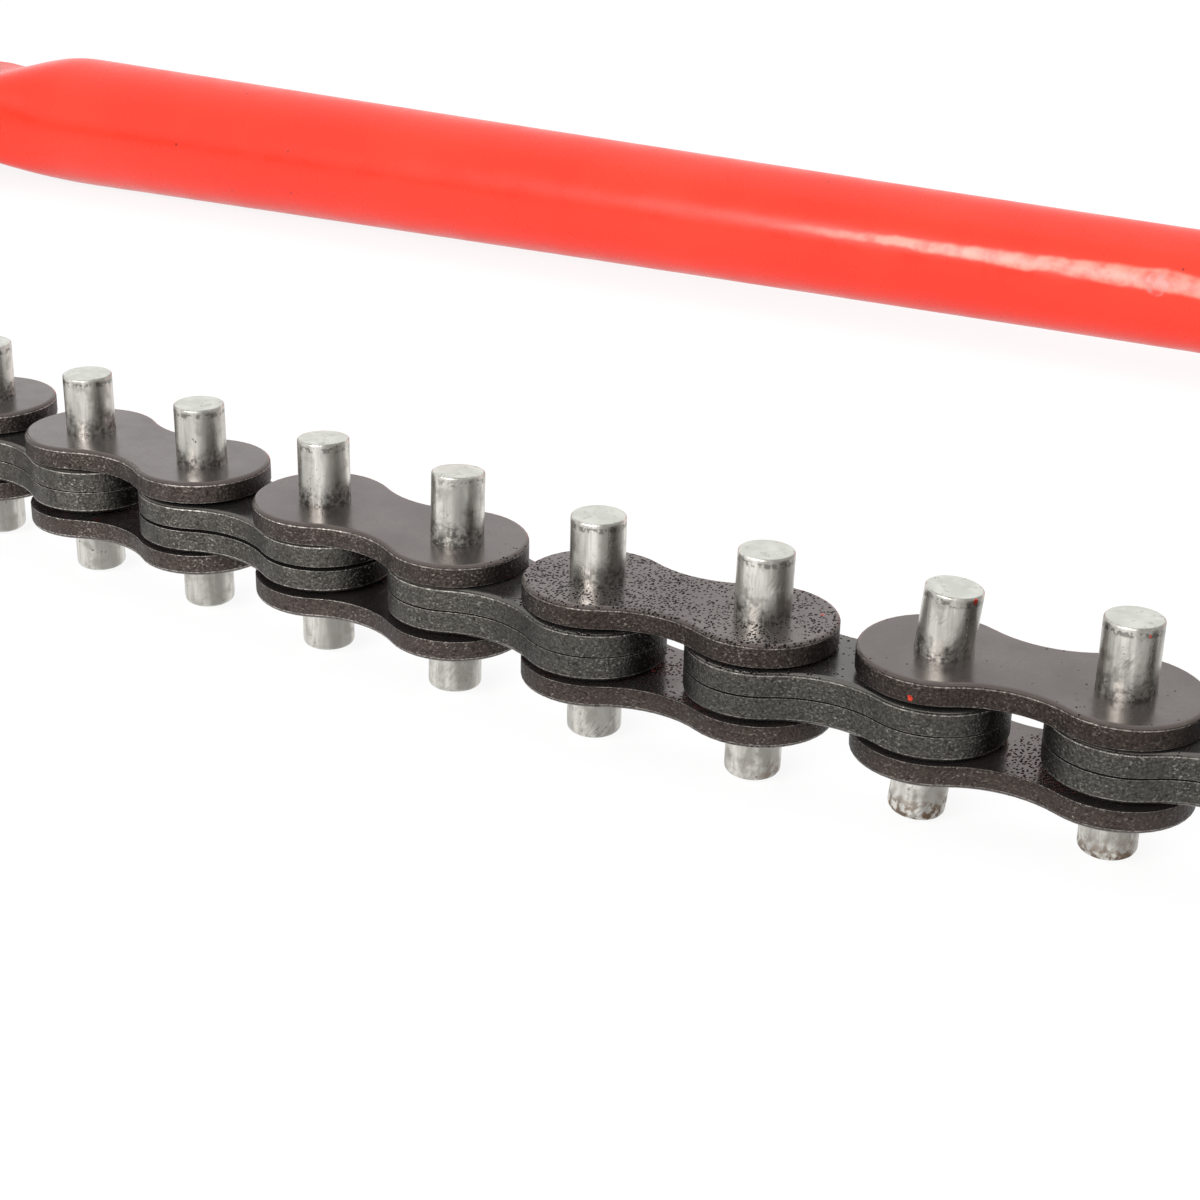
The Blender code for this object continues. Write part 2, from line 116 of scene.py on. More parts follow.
camera_data = bpy.data.cameras.new("camera")
camera_data.sensor_width = 36
camera_data.lens = LENS
camera = put_in_scene("camera", camera_data)
forward = Vector(CAMERA_DIRECTION).normalized()
level = forward.cross(Vector((0, 0, 1))).normalized()
roll = Matrix.Rotation(math.radians(CAMERA_ROLL), 4, forward)
right = roll @ level
up = right.cross(forward)
turn = Matrix((right, up, -forward)).transposed().to_4x4()
camera.matrix_world = Matrix.Translation(CAMERA_PLACE) @ turn
bpy.context.scene.camera = camera
print("camera looks along", tuple(round(value, 3) for value in forward))

# %% [markdown]
# ## Studio
# The photograph is a cut-out on pure white. Here a pale floor runs into a white surrounding.
# The surrounding is white where the camera or a reflection sees it, and dimmer where it only lights.
# The floor adds a little light of its own for the same rays, so it stays pale and still takes a soft shadow.

# %% Small helpers for node trees
def feed(tree, socket, value):
    """Links an output to a socket, or sets the socket to a number or a colour."""
    if isinstance(value, bpy.types.NodeSocket):
        tree.links.new(value, socket)
    elif isinstance(value, tuple) and len(value) == 3 and len(socket.default_value) == 4:
        socket.default_value = (*value, 1.0)
    else:
        socket.default_value = value


def add_node(tree, kind, inputs=None, **settings):
    """A new node with its settings, and with a value or a link for each input that is given."""
    node = tree.nodes.new("ShaderNode" + kind)
    for setting, value in settings.items():
        setattr(node, setting, value)
    for socket, value in (inputs or {}).items():
        feed(tree, node.inputs[socket], value)
    return node


def maths(tree, operation, first, second=0.0):
    return add_node(tree, "Math", {0: first, 1: second}, operation=operation).outputs[0]


def either(tree, first, second):
    return maths(tree, "MAXIMUM", first, second)


def both(tree, first, *others):
    """The product of two or more values."""
    for other in others:
        first = maths(tree, "MULTIPLY", first, other)
    return first


def seen_or_mirrored(tree):
    """1 for rays from the camera, a glossy surface or glass, 0 for rays that only carry light."""
    path = tree.nodes.new("ShaderNodeLightPath")
    seen = either(tree, path.outputs["Is Camera Ray"], path.outputs["Is Glossy Ray"])
    return either(tree, seen, path.outputs["Is Transmission Ray"])


def split_by_ray(tree, for_light, for_sight, surface):
    """Gives a surface one shader for rays that only carry light, and another for rays that are seen."""
    shaders = {0: seen_or_mirrored(tree), 1: for_light.outputs[0], 2: for_sight.outputs[0]}
    tree.links.new(add_node(tree, "MixShader", shaders).outputs[0], surface)


print("node helpers are ready")

# %% White surrounding
SURROUNDING_LIGHT = 0.7

world = bpy.data.worlds.new("studio")
world.use_nodes = True
bpy.context.scene.world = world
tree = world.node_tree
dim = tree.nodes["Background"]
bright = tree.nodes.new("ShaderNodeBackground")
for background, strength in ((dim, SURROUNDING_LIGHT), (bright, 1.0)):
    background.inputs["Color"].default_value = (1, 1, 1, 1)
    background.inputs["Strength"].default_value = strength
split_by_ray(tree, dim, bright, tree.nodes["World Output"].inputs["Surface"])
print("surrounding: strength", SURROUNDING_LIGHT, "for light")

# %% Floor
FLOOR_HALF_SIZE = 4
FLOOR_PLACE = (0.3, 0, -0.0002)
PAPER_GREY = (0.8, 0.8, 0.8)
SEEN_GREY = (0.16, 0.16, 0.16)
SEEN_GLOW = 0.87

shape = bmesh.new()
bmesh.ops.create_grid(shape, x_segments=1, y_segments=1, size=FLOOR_HALF_SIZE)
bmesh.ops.translate(shape, verts=shape.verts, vec=FLOOR_PLACE)
floor_mesh = bpy.data.meshes.new("floor")
shape.to_mesh(floor_mesh)
shape.free()
floor = put_in_scene("floor", floor_mesh)
floor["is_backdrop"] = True
pale = bpy.data.materials.new("pale_floor")
pale.use_nodes = True
tree = pale.node_tree
tree.nodes.clear()
paper = add_node(tree, "BsdfDiffuse", {"Color": PAPER_GREY})
shaded = add_node(tree, "BsdfDiffuse", {"Color": SEEN_GREY})
glow = add_node(tree, "Emission", {"Strength": SEEN_GLOW})
seen_floor = add_node(tree, "AddShader", {0: shaded.outputs[0], 1: glow.outputs[0]})
output = tree.nodes.new("ShaderNodeOutputMaterial")
split_by_ray(tree, paper, seen_floor, output.inputs["Surface"])
floor_mesh.materials.append(pale)
print("floor:", floor.name)


# %% Softboxes
def softbox(name, place, aim, width, height, watts):
    lamp = bpy.data.lights.new(name, "AREA")
    lamp.shape = "RECTANGLE"
    lamp.size = width
    lamp.size_y = height
    lamp.energy = watts
    stand = put_in_scene(name, lamp)
    away = Vector(place) - Vector(aim)
    stand.matrix_world = Matrix.Translation(place) @ away.to_track_quat("Z", "Y").to_matrix().to_4x4()
    return stand


chain_middle = (0.3, -0.12, 0.02)
softbox("key_softbox", (0.24, -1.05, 0.42), chain_middle, width=0.7, height=0.3, watts=8)
top = softbox("top_softbox", (0.2, 0.3, 1.3), chain_middle, width=1.2, height=1.2, watts=6)
top.visible_glossy = False
print("softboxes: 2")

# %% [markdown]
# ## Finishes
# Each finish is a node tree that reads the piece's own coordinates in metres, so a scale of 1000
# gives spots of about a millimetre. The pieces sit at the origin with their place in their mesh,
# so every link gets its own part of the pattern and no two look the same.
# The first helpers give noise, cell patterns, soft steps, colour blends and bumps.


# %% Helpers for patterns
RIGHT_IN_PHOTO = (0.883, 0.469, 0.0)
RED_FLECK = (0.6, 0.05, 0.03)


def new_finish(name, metallic, roughness):
    finish = bpy.data.materials.new(name)
    finish.use_nodes = True
    shader = finish.node_tree.nodes["Principled BSDF"]
    shader.inputs["Metallic"].default_value = metallic
    shader.inputs["Roughness"].default_value = roughness
    return finish, finish.node_tree, shader


def dress(tree, shader, colour, rough, bump):
    for socket, value in (("Base Color", colour), ("Roughness", rough), ("Normal", bump)):
        tree.links.new(value, shader.inputs[socket])


def own_place(tree, stretch=(1, 1, 1), tilt=(0, 0, 0)):
    """The piece's own coordinates, tilted first and then stretched."""
    source = tree.nodes.new("ShaderNodeTexCoord")
    scale = tuple(1 / share for share in stretch)
    inputs = {"Vector": source.outputs["Object"], "Scale": scale, "Rotation": tilt}
    return add_node(tree, "Mapping", inputs, vector_type="TEXTURE").outputs[0]


def noise(tree, scale, detail, stretch=(1, 1, 1), tilt=(0, 0, 0)):
    inputs = {"Vector": own_place(tree, stretch, tilt), "Scale": scale, "Detail": detail}
    return add_node(tree, "TexNoise", inputs).outputs["Fac"]


def cells(tree, scale, stretch=(1, 1, 1)):
    """The distance to the nearest cell centre, and a random number for each cell."""
    node = add_node(tree, "TexVoronoi", {"Vector": own_place(tree, stretch), "Scale": scale})
    return node.outputs["Distance"], add_node(tree, "SeparateColor", {0: node.outputs["Color"]}).outputs[0]


def soft_step(tree, value, start, end, low=0.0, high=1.0):
    """Goes smoothly from low to high while the value goes from start to end."""
    inputs = {"Value": value, "From Min": start, "From Max": end, "To Min": low, "To Max": high}
    return add_node(tree, "MapRange", inputs, interpolation_type="SMOOTHSTEP").outputs["Result"]


def patches(tree, scale, detail, start, end, low=0.0, high=1.0, stretch=(1, 1, 1)):
    """Noise that goes from low to high where it passes from start to end."""
    return soft_step(tree, noise(tree, scale, detail, stretch), start, end, low, high)


def blend(tree, share, first, second):
    return add_node(tree, "Mix", {0: share, 6: first, 7: second}, data_type="RGBA").outputs[2]


def layered(tree, colour, *layers):
    """Lays (share, colour) pairs over a colour, one after another."""
    for share, over in layers:
        colour = blend(tree, share, colour, over)
    return colour


def raised(tree, height, distance, under=None):
    """A bump of the given height in metres, on top of another bump."""
    node = add_node(tree, "Bump", {"Height": height, "Distance": distance, "Strength": 1.0})
    if under is not None:
        feed(tree, node.inputs["Normal"], under)
    return node.outputs[0]


def axes_of(tree, vector):
    """The x, y and z of a vector."""
    return add_node(tree, "SeparateXYZ", {0: vector}).outputs


def facing_of(tree):
    """The direction that the piece's surface faces."""
    return tree.nodes.new("ShaderNodeTexCoord").outputs["Normal"]


def facing_up(tree):
    """0 on upright walls, 1 on surfaces that face straight up or down."""
    return maths(tree, "ABSOLUTE", axes_of(tree, facing_of(tree))[2])


def facing_right(tree):
    """1 on walls that face right as the photograph sees them, -1 on walls that face left."""
    inputs = {0: facing_of(tree), 1: RIGHT_IN_PHOTO}
    return add_node(tree, "VectorMath", inputs, operation="DOT_PRODUCT").outputs["Value"]


def height_of(tree):
    """The height above the floor, in metres."""
    return axes_of(tree, own_place(tree))[2]


def near(tree, place, radius):
    """1 within a small ball about a place, fading to 0 just outside it."""
    inputs = {0: own_place(tree), 1: place}
    gap = add_node(tree, "VectorMath", inputs, operation="DISTANCE").outputs["Value"]
    return soft_step(tree, gap, radius * 0.7, radius, 1.0, 0.0)


def along_chain(tree, start, end):
    """Goes from 0 to 1 while the place along the wrench goes from start to end."""
    return soft_step(tree, axes_of(tree, own_place(tree))[0], start, end)


def pits(tree, share, scale, size):
    """Small round pits. Where the share is 0 there are none, where it is 1 every cell has one."""
    distance, lot = cells(tree, scale, (1, 0.8, 1))
    ragged = maths(tree, "ADD", distance, both(tree, noise(tree, scale * 2, 2), 0.35))
    chosen = soft_step(tree, maths(tree, "ADD", lot, share), 0.99, 1.05)
    return both(tree, soft_step(tree, ragged, size + 0.2, size), chosen)


def turned_over(tree, value):
    return maths(tree, "SUBTRACT", 1.0, value)


def flecked(tree, colour, places):
    """Small flecks of red paint at the given (place, radius) pairs."""
    for place, radius in places:
        ragged = both(tree, near(tree, place, radius), patches(tree, 3000, 2, 0.36, 0.5))
        colour = blend(tree, ragged, colour, RED_FLECK)
    return colour


print("pattern helpers are ready")

# %% [markdown]
# ### Chain plates
# The plates are stamped from sheet steel. Their flat sides are smooth and satin, with patches of fine
# black pits. Their edges are sheared, which leaves a rough wall with painted glints, and the corner between
# the two is worn bright and carries a painted highlight. The walls get painted shade where they turn to
# either side, and painted light low down. One tree does all of this, because it knows which way the surface
# faces.


# %% Stamped steel
DARK_WALLS_X = (0.335, 0.375)
PAINTED_LIGHT_LOW_WALL_Z = (0.0135, 0.0105)
PITTED_PATCH = ((0.4435, -0.2195, 0.0112), 0.009)
PIT_FADE_LENGTH = 0.008
BLACK_PIT = (0.01, 0.008, 0.008)
BLACK_NICK = (0.01, 0.009, 0.009)
SHADED_WALL = (0.006, 0.005, 0.005)
WORN_RIM_HIGHLIGHT = (0.58, 0.54, 0.5)


def stamped_steel(
    name, flat_colours, edge_colours, late_colours, painted_glint_colour, pitted, painted_glint_share, painted_shade_side, flecks=()
):
    """The finish of one kind of plate. Each pair of colours is (dark, light).

    late_colours are those of the walls near the free end. pitted is (start, full, end, faded): where
    along the wrench the pits start, are full and end, and how far they fade there. painted_shade_side is
    (start, end, share): how far right a wall faces where its painted shade starts and where it is
    darkest, and by how much.
    """
    finish, tree, shader = new_finish(name, 0.9, 0.35)
    facing = facing_up(tree)
    flat = soft_step(tree, facing, 0.3, 0.6)

    # Flat sides: clouds, a fine grain, the rolled corner and the pits
    fine = patches(tree, 2400, 3, 0.35, 0.7, 0.0, 0.5)
    rolled = soft_step(tree, facing, 0.985, 0.75, 0.0, 0.75)
    start, full, end, faded = pitted
    beyond = both(tree, along_chain(tree, end, end + PIT_FADE_LENGTH), faded)
    stretch = both(tree, along_chain(tree, start, full), turned_over(tree, beyond))
    share = both(tree, stretch, patches(tree, 130, 4, 0.36, 0.54, 0.26, 0.95))
    share = either(tree, share, near(tree, *PITTED_PATCH))
    pit = either(tree, pits(tree, share, 2300, 0.46), pits(tree, both(tree, share, 0.5), 1500, 0.38))
    flat_colour = blend(tree, patches(tree, 90, 4, 0.3, 0.7), *flat_colours)
    layers = ((fine, flat_colours[0]), (rolled, edge_colours[1]), (pit, BLACK_PIT))
    flat_colour = layered(tree, flat_colour, *layers)

    # Sheared walls: grain and mottle, darker near the free end, painted shade on walls turned to either side,
    # painted light low down
    grain = patches(tree, 2600, 5, 0.25, 0.8)
    mottle = patches(tree, 500, 3, 0.35, 0.65, 0.0, 0.6)
    late = both(tree, along_chain(tree, *DARK_WALLS_X), 0.85)
    # painted light: the low walls are lifted towards the lighter wall colour
    low = soft_step(tree, height_of(tree), *PAINTED_LIGHT_LOW_WALL_Z, 0.0, 0.3)
    side_start, side_end, deep = painted_shade_side
    # painted shade: walls that face right or left are darkened towards SHADED_WALL
    painted_shade_right = soft_step(tree, facing_right(tree), side_start, side_end, 0.0, deep)
    painted_shade_left = soft_step(tree, facing_right(tree), -0.75, -1.0, 0.0, 0.45)

    # On the walls, strewn specks are painted glints, nicks are black, and the rim is worn bright, partly a
    # painted highlight
    # painted glints: bright specks strewn over the walls
    speck = patches(tree, 2900, 4, 0.54, 0.7, stretch=(0.8, 0.8, 1.1))
    strewn = patches(tree, 210, 5, 0.4, 0.66, 0.16, painted_glint_share)
    strewn = both(tree, strewn, turned_over(tree, both(tree, late, 0.4)))
    nick = patches(tree, 2000, 5, 0.42, 0.34, 0.0, 0.6, (0.7, 0.7, 1.2))
    # the bright rim band is partly wear and partly a painted highlight
    rim = both(tree, soft_step(tree, facing, 0.04, 0.1), soft_step(tree, facing, 0.34, 0.16))
    broken = patches(tree, 2200, 4, 0.42, 0.58, 0.25)
    worn_rim_highlight = both(tree, rim, broken, patches(tree, 160, 3, 0.3, 0.55, 0.4))
    worn_rim_highlight = both(tree, worn_rim_highlight, turned_over(tree, both(tree, late, 0.6)))
    edge_colour = layered(
        tree, blend(tree, grain, *edge_colours),
        (mottle, edge_colours[0]),
        (late, blend(tree, grain, *late_colours)),
        (low, edge_colours[1]),
        (either(tree, painted_shade_right, painted_shade_left), SHADED_WALL),
        (both(tree, speck, strewn), painted_glint_colour),
        (nick, BLACK_NICK),
        (worn_rim_highlight, WORN_RIM_HIGHLIGHT),
    )
    colour = blend(tree, flat, edge_colour, flat_colour)

    # The flat sides are satin, and the walls and the pits are dull and rough
    flat_rough = patches(tree, 240, 4, 0.3, 0.7, 0.17, 0.3)
    flat_rough = either(tree, flat_rough, both(tree, pit, 0.8))
    rough = add_node(tree, "Mix", {0: flat, 2: 0.46, 3: flat_rough}).outputs[0]
    ripples = raised(tree, noise(tree, 900, 4), 0.000012)
    sunk = raised(tree, both(tree, pit, -1.0), 0.00004, ripples)
    sheared = both(tree, noise(tree, 2300, 5), turned_over(tree, flat))
    dress(tree, shader, flecked(tree, colour, flecks), rough, raised(tree, sheared, 0.00022, sunk))
    return finish


outer_steel = stamped_steel(
    "outer_plate_steel",
    flat_colours=((0.155, 0.135, 0.129), (0.205, 0.182, 0.174)),
    edge_colours=((0.033, 0.0255, 0.022), (0.1, 0.08, 0.071)),
    late_colours=((0.0175, 0.013, 0.011), (0.054, 0.041, 0.034)),
    painted_glint_colour=(0.46, 0.415, 0.38),
    pitted=(0.356, 0.366, 0.408, 0.96),
    painted_glint_share=0.5,
    painted_shade_side=(0.5, 0.95, 0.62),
    flecks=(
        ((0.40739, -0.2173, 0.02465), 0.00035),
        ((0.42557, -0.23032, 0.0220), 0.0005),
        ((0.28071, -0.2185, 0.01255), 0.0005),
    ),
)
inner_steel = stamped_steel(
    "inner_plate_steel",
    flat_colours=((0.128, 0.125, 0.12), (0.172, 0.168, 0.162)),
    edge_colours=((0.046, 0.043, 0.037), (0.135, 0.128, 0.112)),
    late_colours=((0.031, 0.0295, 0.0255), (0.086, 0.083, 0.073)),
    painted_glint_colour=(0.48, 0.465, 0.42),
    pitted=(0.356, 0.375, 0.404, 0.85),
    painted_glint_share=0.6,
    painted_shade_side=(0.22, 0.72, 0.93),
)
print("finishes:", outer_steel.name, inner_steel.name)

# %% [markdown]
# ### Zinc pins
# The pins are cut from bright wire. Drawing the wire leaves light and dark streaks along it, handling
# leaves scratches across it, and the cut ends are flat and pale. The lowest millimetres show some rust.


# %% Zinc
ALONG_WIRE = (1, 1, 0.08)
SHADY_SIDE = -30
HATCHED_X = (0.33, 0.37)
RUSTY_X = (0.385, 0.42)
RUST_Z = (0.0065, 0.0012)
RUST = (0.13, 0.075, 0.042)


def pin_place(tree):
    """The place on the pin itself, measured from its middle, as (x, y, z)."""
    own = add_node(tree, "Attribute", attribute_name="pin_place")
    return axes_of(tree, own.outputs["Vector"])


def towards(tree, degrees):
    """1 on the side of the pin that faces a direction, -1 on the far side."""
    place = pin_place(tree)
    across = both(tree, place[0], math.cos(math.radians(degrees)) / PIN_RADIUS)
    up_and_down = both(tree, place[1], math.sin(math.radians(degrees)) / PIN_RADIUS)
    return maths(tree, "ADD", across, up_and_down)


def drawn_zinc(name, flecks=()):
    finish, tree, shader = new_finish(name, 1.0, 0.32)
    z = pin_place(tree)[2]

    # Streaks along the wire, painted shade on one side of each pin, smudges, and a hatch of dark and bright
    # scratches
    streak = patches(tree, 520, 3, 0.36, 0.64, stretch=ALONG_WIRE)
    wander = both(tree, noise(tree, 260, 4, (1, 1, 0.35)), 0.5)
    # painted shade on the side of each pin that faces SHADY_SIDE
    shade = soft_step(tree, maths(tree, "ADD", towards(tree, SHADY_SIDE), wander), 1.02, 1.22, 0.0, 0.75)
    thin = patches(tree, 2600, 2, 0.5, 0.68, 0.0, 0.3, ALONG_WIRE)
    smudge = patches(tree, 420, 6, 0.48, 0.68, 0.0, 0.6)
    across = noise(tree, 3000, 2, (1, 1, 0.1), (0, 0.7, 0.49))
    scratched = both(
        tree, patches(tree, 260, 3, 0.46, 0.62), soft_step(tree, towards(tree, SHADY_SIDE), -0.2, 0.5),
        along_chain(tree, *HATCHED_X),
    )
    dark_scratch = both(tree, soft_step(tree, across, 0.55, 0.64, 0.0, 0.5), scratched)
    bright_scratch = both(tree, soft_step(tree, across, 0.45, 0.36, 0.0, 0.3), scratched)

    # Freckles, a burr just below the cut end, and painted shade where the pin stands on its plate
    freckle = both(tree, patches(tree, 2300, 3, 0.64, 0.7), patches(tree, 320, 3, 0.5, 0.6))
    below_end = both(tree, soft_step(tree, z, 0.0151, 0.0155), soft_step(tree, z, 0.0162, 0.0159))
    burr = both(tree, below_end, patches(tree, 1300, 4, 0.44, 0.56, 0.0, 0.7))
    # painted shade: the pin is darkened just above its upper plate
    over_plate = maths(tree, "ADD", z, both(tree, noise(tree, 420, 5), -0.009))
    painted_plate_shade = both(tree, soft_step(tree, over_plate, 0.0072, 0.0022, 0.0, 0.85), soft_step(tree, z, 0.0, 0.004))
    painted_plate_shade = both(tree, painted_plate_shade, patches(tree, 1500, 5, 0.4, 0.6, 0.15))
    side = layered(
        tree, blend(tree, streak, (0.46, 0.45, 0.415), (0.72, 0.705, 0.655)),
        (shade, (0.2, 0.19, 0.175)),
        (thin, (0.26, 0.245, 0.22)),
        (smudge, (0.24, 0.225, 0.2)),
        (dark_scratch, (0.16, 0.152, 0.138)),
        (bright_scratch, (0.78, 0.77, 0.72)),
        (both(tree, freckle, 0.8), (0.06, 0.055, 0.05)),
        (burr, (0.09, 0.085, 0.075)),
        (painted_plate_shade, (0.06, 0.058, 0.054)),
    )

    # The cut ends are pale and blotchy, and the lowest millimetres rust near the free end
    end = layered(
        tree, blend(tree, patches(tree, 380, 4, 0.35, 0.7), (0.64, 0.65, 0.595), (0.75, 0.76, 0.705)),
        (patches(tree, 800, 4, 0.58, 0.7, 0.0, 0.45), (0.36, 0.36, 0.325)),
        (both(tree, freckle, 0.7), (0.16, 0.15, 0.13)),
    )
    flat = soft_step(tree, facing_up(tree), 0.8, 0.97)
    colour = blend(tree, flat, side, end)
    low = both(tree, soft_step(tree, height_of(tree), *RUST_Z), along_chain(tree, *RUSTY_X))
    rust = both(tree, low, patches(tree, 900, 5, 0.42, 0.58))
    colour = blend(tree, both(tree, rust, 0.85), colour, RUST)
    rough = patches(tree, 600, 4, 0.3, 0.7, 0.26, 0.42, (1, 1, 0.2))
    rough = either(tree, rough, either(tree, both(tree, flat, 0.45), both(tree, rust, 0.8)))
    drawn = raised(tree, noise(tree, 1500, 3, ALONG_WIRE), 0.00003)
    dented = raised(tree, noise(tree, 300, 3), 0.00008, drawn)
    grained = raised(tree, noise(tree, 3200, 3), 0.00002, dented)
    dress(tree, shader, flecked(tree, colour, flecks), rough, grained)
    return finish


zinc_pin = drawn_zinc(
    "drawn_zinc", (((0.4302, -0.22113, 0.03316), 0.0005), ((0.45351, -0.22116, 0.0336), 0.0005))
)
print("finish:", zinc_pin.name)

# %% [markdown]
# ### Red enamel
# The handle is sprayed with a thick glossy enamel over a forged bar. The forging shows through as very
# shallow waves, which make the long highlight wander, and dust in the paint gives a few tiny pimples.

# %% Enamel
BAND_Z = 0.0213
BAND_START_X = (0.3, 0.34)
BAND_WIDENS_X = (0.3, 0.41)
BAND_END_X = (0.44, 0.56)
HAND_SMUDGE = ((0.3952, -0.0123, 0.0207), 0.003)

enamel, tree, shader = new_finish("red_enamel", 0.0, 0.28)
shader.inputs["Specular IOR Level"].default_value = 0.4
colour = blend(tree, patches(tree, 30, 3, 0.3, 0.7), (0.84, 0.034, 0.014), (0.88, 0.042, 0.018))
spots, lot = cells(tree, 260)
dirt = both(tree, soft_step(tree, spots, 0.12, 0.06), soft_step(tree, lot, 0.94, 0.96))
colour = blend(tree, dirt, colour, (0.3, 0.02, 0.015))

# A pale band on the side towards the chain, wider towards the free end: a painted highlight over paint that is
# partly rubbed
wander = both(tree, maths(tree, "SUBTRACT", noise(tree, 110, 5), 0.5), 0.0022)
off_band = maths(tree, "SUBTRACT", maths(tree, "ADD", height_of(tree), wander), BAND_Z)
wider = both(tree, along_chain(tree, *BAND_WIDENS_X), 0.0016)
off_band = maths(tree, "SUBTRACT", maths(tree, "ABSOLUTE", off_band), wider)
rubbed_band_and_highlight = both(
    tree, soft_step(tree, off_band, 0.001, 0.0), soft_step(tree, facing_right(tree), -0.2, -0.35),
    both(tree, along_chain(tree, *BAND_START_X), turned_over(tree, along_chain(tree, *BAND_END_X))),
    patches(tree, 260, 5, 0.3, 0.62, 0.25, 0.8),
)
# the pale band is a painted highlight over partly rubbed paint
colour = blend(tree, rubbed_band_and_highlight, colour, (0.95, 0.33, 0.25))
smudge = both(tree, near(tree, *HAND_SMUDGE), patches(tree, 700, 4, 0.42, 0.58, 0.1, 0.6))
colour = blend(tree, smudge, colour, (0.4, 0.24, 0.21))
waves = raised(tree, noise(tree, 45, 2, (0.6, 1, 1)), 0.0003)
peel = raised(tree, noise(tree, 900, 2), 0.00001, waves)
dress(tree, shader, colour, patches(tree, 120, 4, 0.3, 0.7, 0.24, 0.34), peel)
print("finish:", enamel.name)

# %% [markdown]
# ### Forged steel and plated fasteners
# The jaws and the shackle are drop forgings with a dark heat-treatment scale, rough to the touch, and
# bright only where they rub. The bolts, nuts and anchor pin are plated like the chain pins but cleaner.


# %% Forged steel
BARE_STEEL = (0.36, 0.345, 0.33)


def forged_steel(name, dark, light, worn_from):
    finish, tree, shader = new_finish(name, 0.8, 0.5)
    colour = blend(tree, patches(tree, 180, 6, 0.3, 0.7), dark, light)
    facing = facing_up(tree)
    corner = both(tree, soft_step(tree, facing, 0.15, 0.4), soft_step(tree, facing, 0.97, 0.85))
    rubbed = both(tree, corner, patches(tree, 260, 4, worn_from, worn_from + 0.2))
    colour = blend(tree, rubbed, colour, BARE_STEEL)
    hammered = raised(tree, noise(tree, 130, 3), 0.00025)
    grainy = raised(tree, noise(tree, 1300, 4), 0.00012, hammered)
    dress(tree, shader, colour, patches(tree, 300, 4, 0.3, 0.7, 0.42, 0.62), grainy)
    return finish


jaw_steel = forged_steel("forged_jaw_steel", (0.035, 0.033, 0.032), (0.09, 0.082, 0.077), 0.45)
shackle_steel = forged_steel("forged_shackle_steel", (0.045, 0.04, 0.037), (0.11, 0.098, 0.09), 0.4)
tooth_steel = forged_steel("worn_tooth_steel", (0.3, 0.29, 0.28), (0.5, 0.48, 0.46), 0.3)

plated, tree, shader = new_finish("plated_steel", 1.0, 0.3)
colour = blend(tree, patches(tree, 220, 5, 0.35, 0.65), (0.36, 0.36, 0.345), (0.58, 0.58, 0.55))
rough = patches(tree, 400, 4, 0.3, 0.7, 0.22, 0.4)
dress(tree, shader, colour, rough, raised(tree, noise(tree, 900, 3), 0.00003))
print("finishes:", jaw_steel.name, shackle_steel.name, tooth_steel.name, plated.name)

# %% [markdown]
# ## Drawing outlines
# Most pieces here are plates: an outline pulled to a thickness with its corners broken.
# An outline is drawn like a pen stroke. One vertex is pulled to the next corner, or spun about a centre
# to leave an arc behind, until the stroke meets its start.


# %% Pen helpers
HOLE_SIDES = 40
WELD = 0.000005
SHARP_TURN = math.radians(60)


def pull_to(shape, vertex, *points):
    """Draws straight edges to new vertices, given as (x, y) or (x, y, z)."""
    for point in points:
        vertex = bmesh.ops.extrude_vert_indiv(shape, verts=[vertex])["verts"][0]
        vertex.co = (*point, 0)[:3]
    return vertex


def sweep(shape, vertex, x, y, degrees, steps):
    """Draws an arc about a centre, counter-clockwise for positive degrees."""
    made = bmesh.ops.spin(
        shape, geom=[vertex], cent=(x, y, 0), axis=(0, 0, 1), dvec=(0, 0, 0),
        angle=math.radians(degrees), space=Matrix.Identity(4), steps=steps,
        use_merge=False, use_normal_flip=False, use_duplicate=False,
    )
    return [item for item in made["geom_last"] if isinstance(item, bmesh.types.BMVert)][0]


def add_holes(shape, holes):
    """Draws a circle for each hole, given as (x, radius) on the centre line."""
    for x, radius in holes:
        place = Matrix.Translation((x, 0, 0))
        bmesh.ops.create_circle(shape, cap_ends=False, segments=HOLE_SIDES, radius=radius, matrix=place)


def pull_plate(shape, thickness):
    """Fills the closed strokes, leaving the holes, and pulls the face to a plate centred on z = 0."""
    bmesh.ops.remove_doubles(shape, verts=shape.verts, dist=WELD)
    bmesh.ops.triangle_fill(
        shape, use_beauty=True, use_dissolve=False, edges=shape.edges[:], normal=(0, 0, 1)
    )
    pulled = bmesh.ops.extrude_face_region(shape, geom=shape.faces[:])
    top = [item for item in pulled["geom"] if isinstance(item, bmesh.types.BMVert)]
    bmesh.ops.translate(shape, verts=top, vec=(0, 0, thickness))
    bmesh.ops.translate(shape, verts=shape.verts, vec=(0, 0, -thickness / 2))
    bmesh.ops.recalc_face_normals(shape, faces=shape.faces)


def add_cylinder(shape, radius, depth, sides, place=Matrix()):
    bmesh.ops.create_cone(
        shape, cap_ends=True, cap_tris=False, segments=sides, radius1=radius, radius2=radius, depth=depth,
        matrix=place,
    )


def round_edges(shape, edges, radius, segments):
    bmesh.ops.bevel(
        shape, geom=edges, offset=radius, offset_type="OFFSET", segments=segments,
        profile=0.5, affect="EDGES", material=-1,
    )


def break_corners(shape, radius, segments=3):
    """Rounds every edge where the surface makes a sharp turn."""
    corners = [edge for edge in shape.edges if edge.calc_face_angle(0) > SHARP_TURN]
    round_edges(shape, corners, radius, segments)


def shade(mesh, sharp):
    """Smooth shading, but with every turn of more than the given degrees left sharp."""
    mesh.shade_smooth()
    mesh.set_sharp_from_angle(angle=math.radians(sharp))


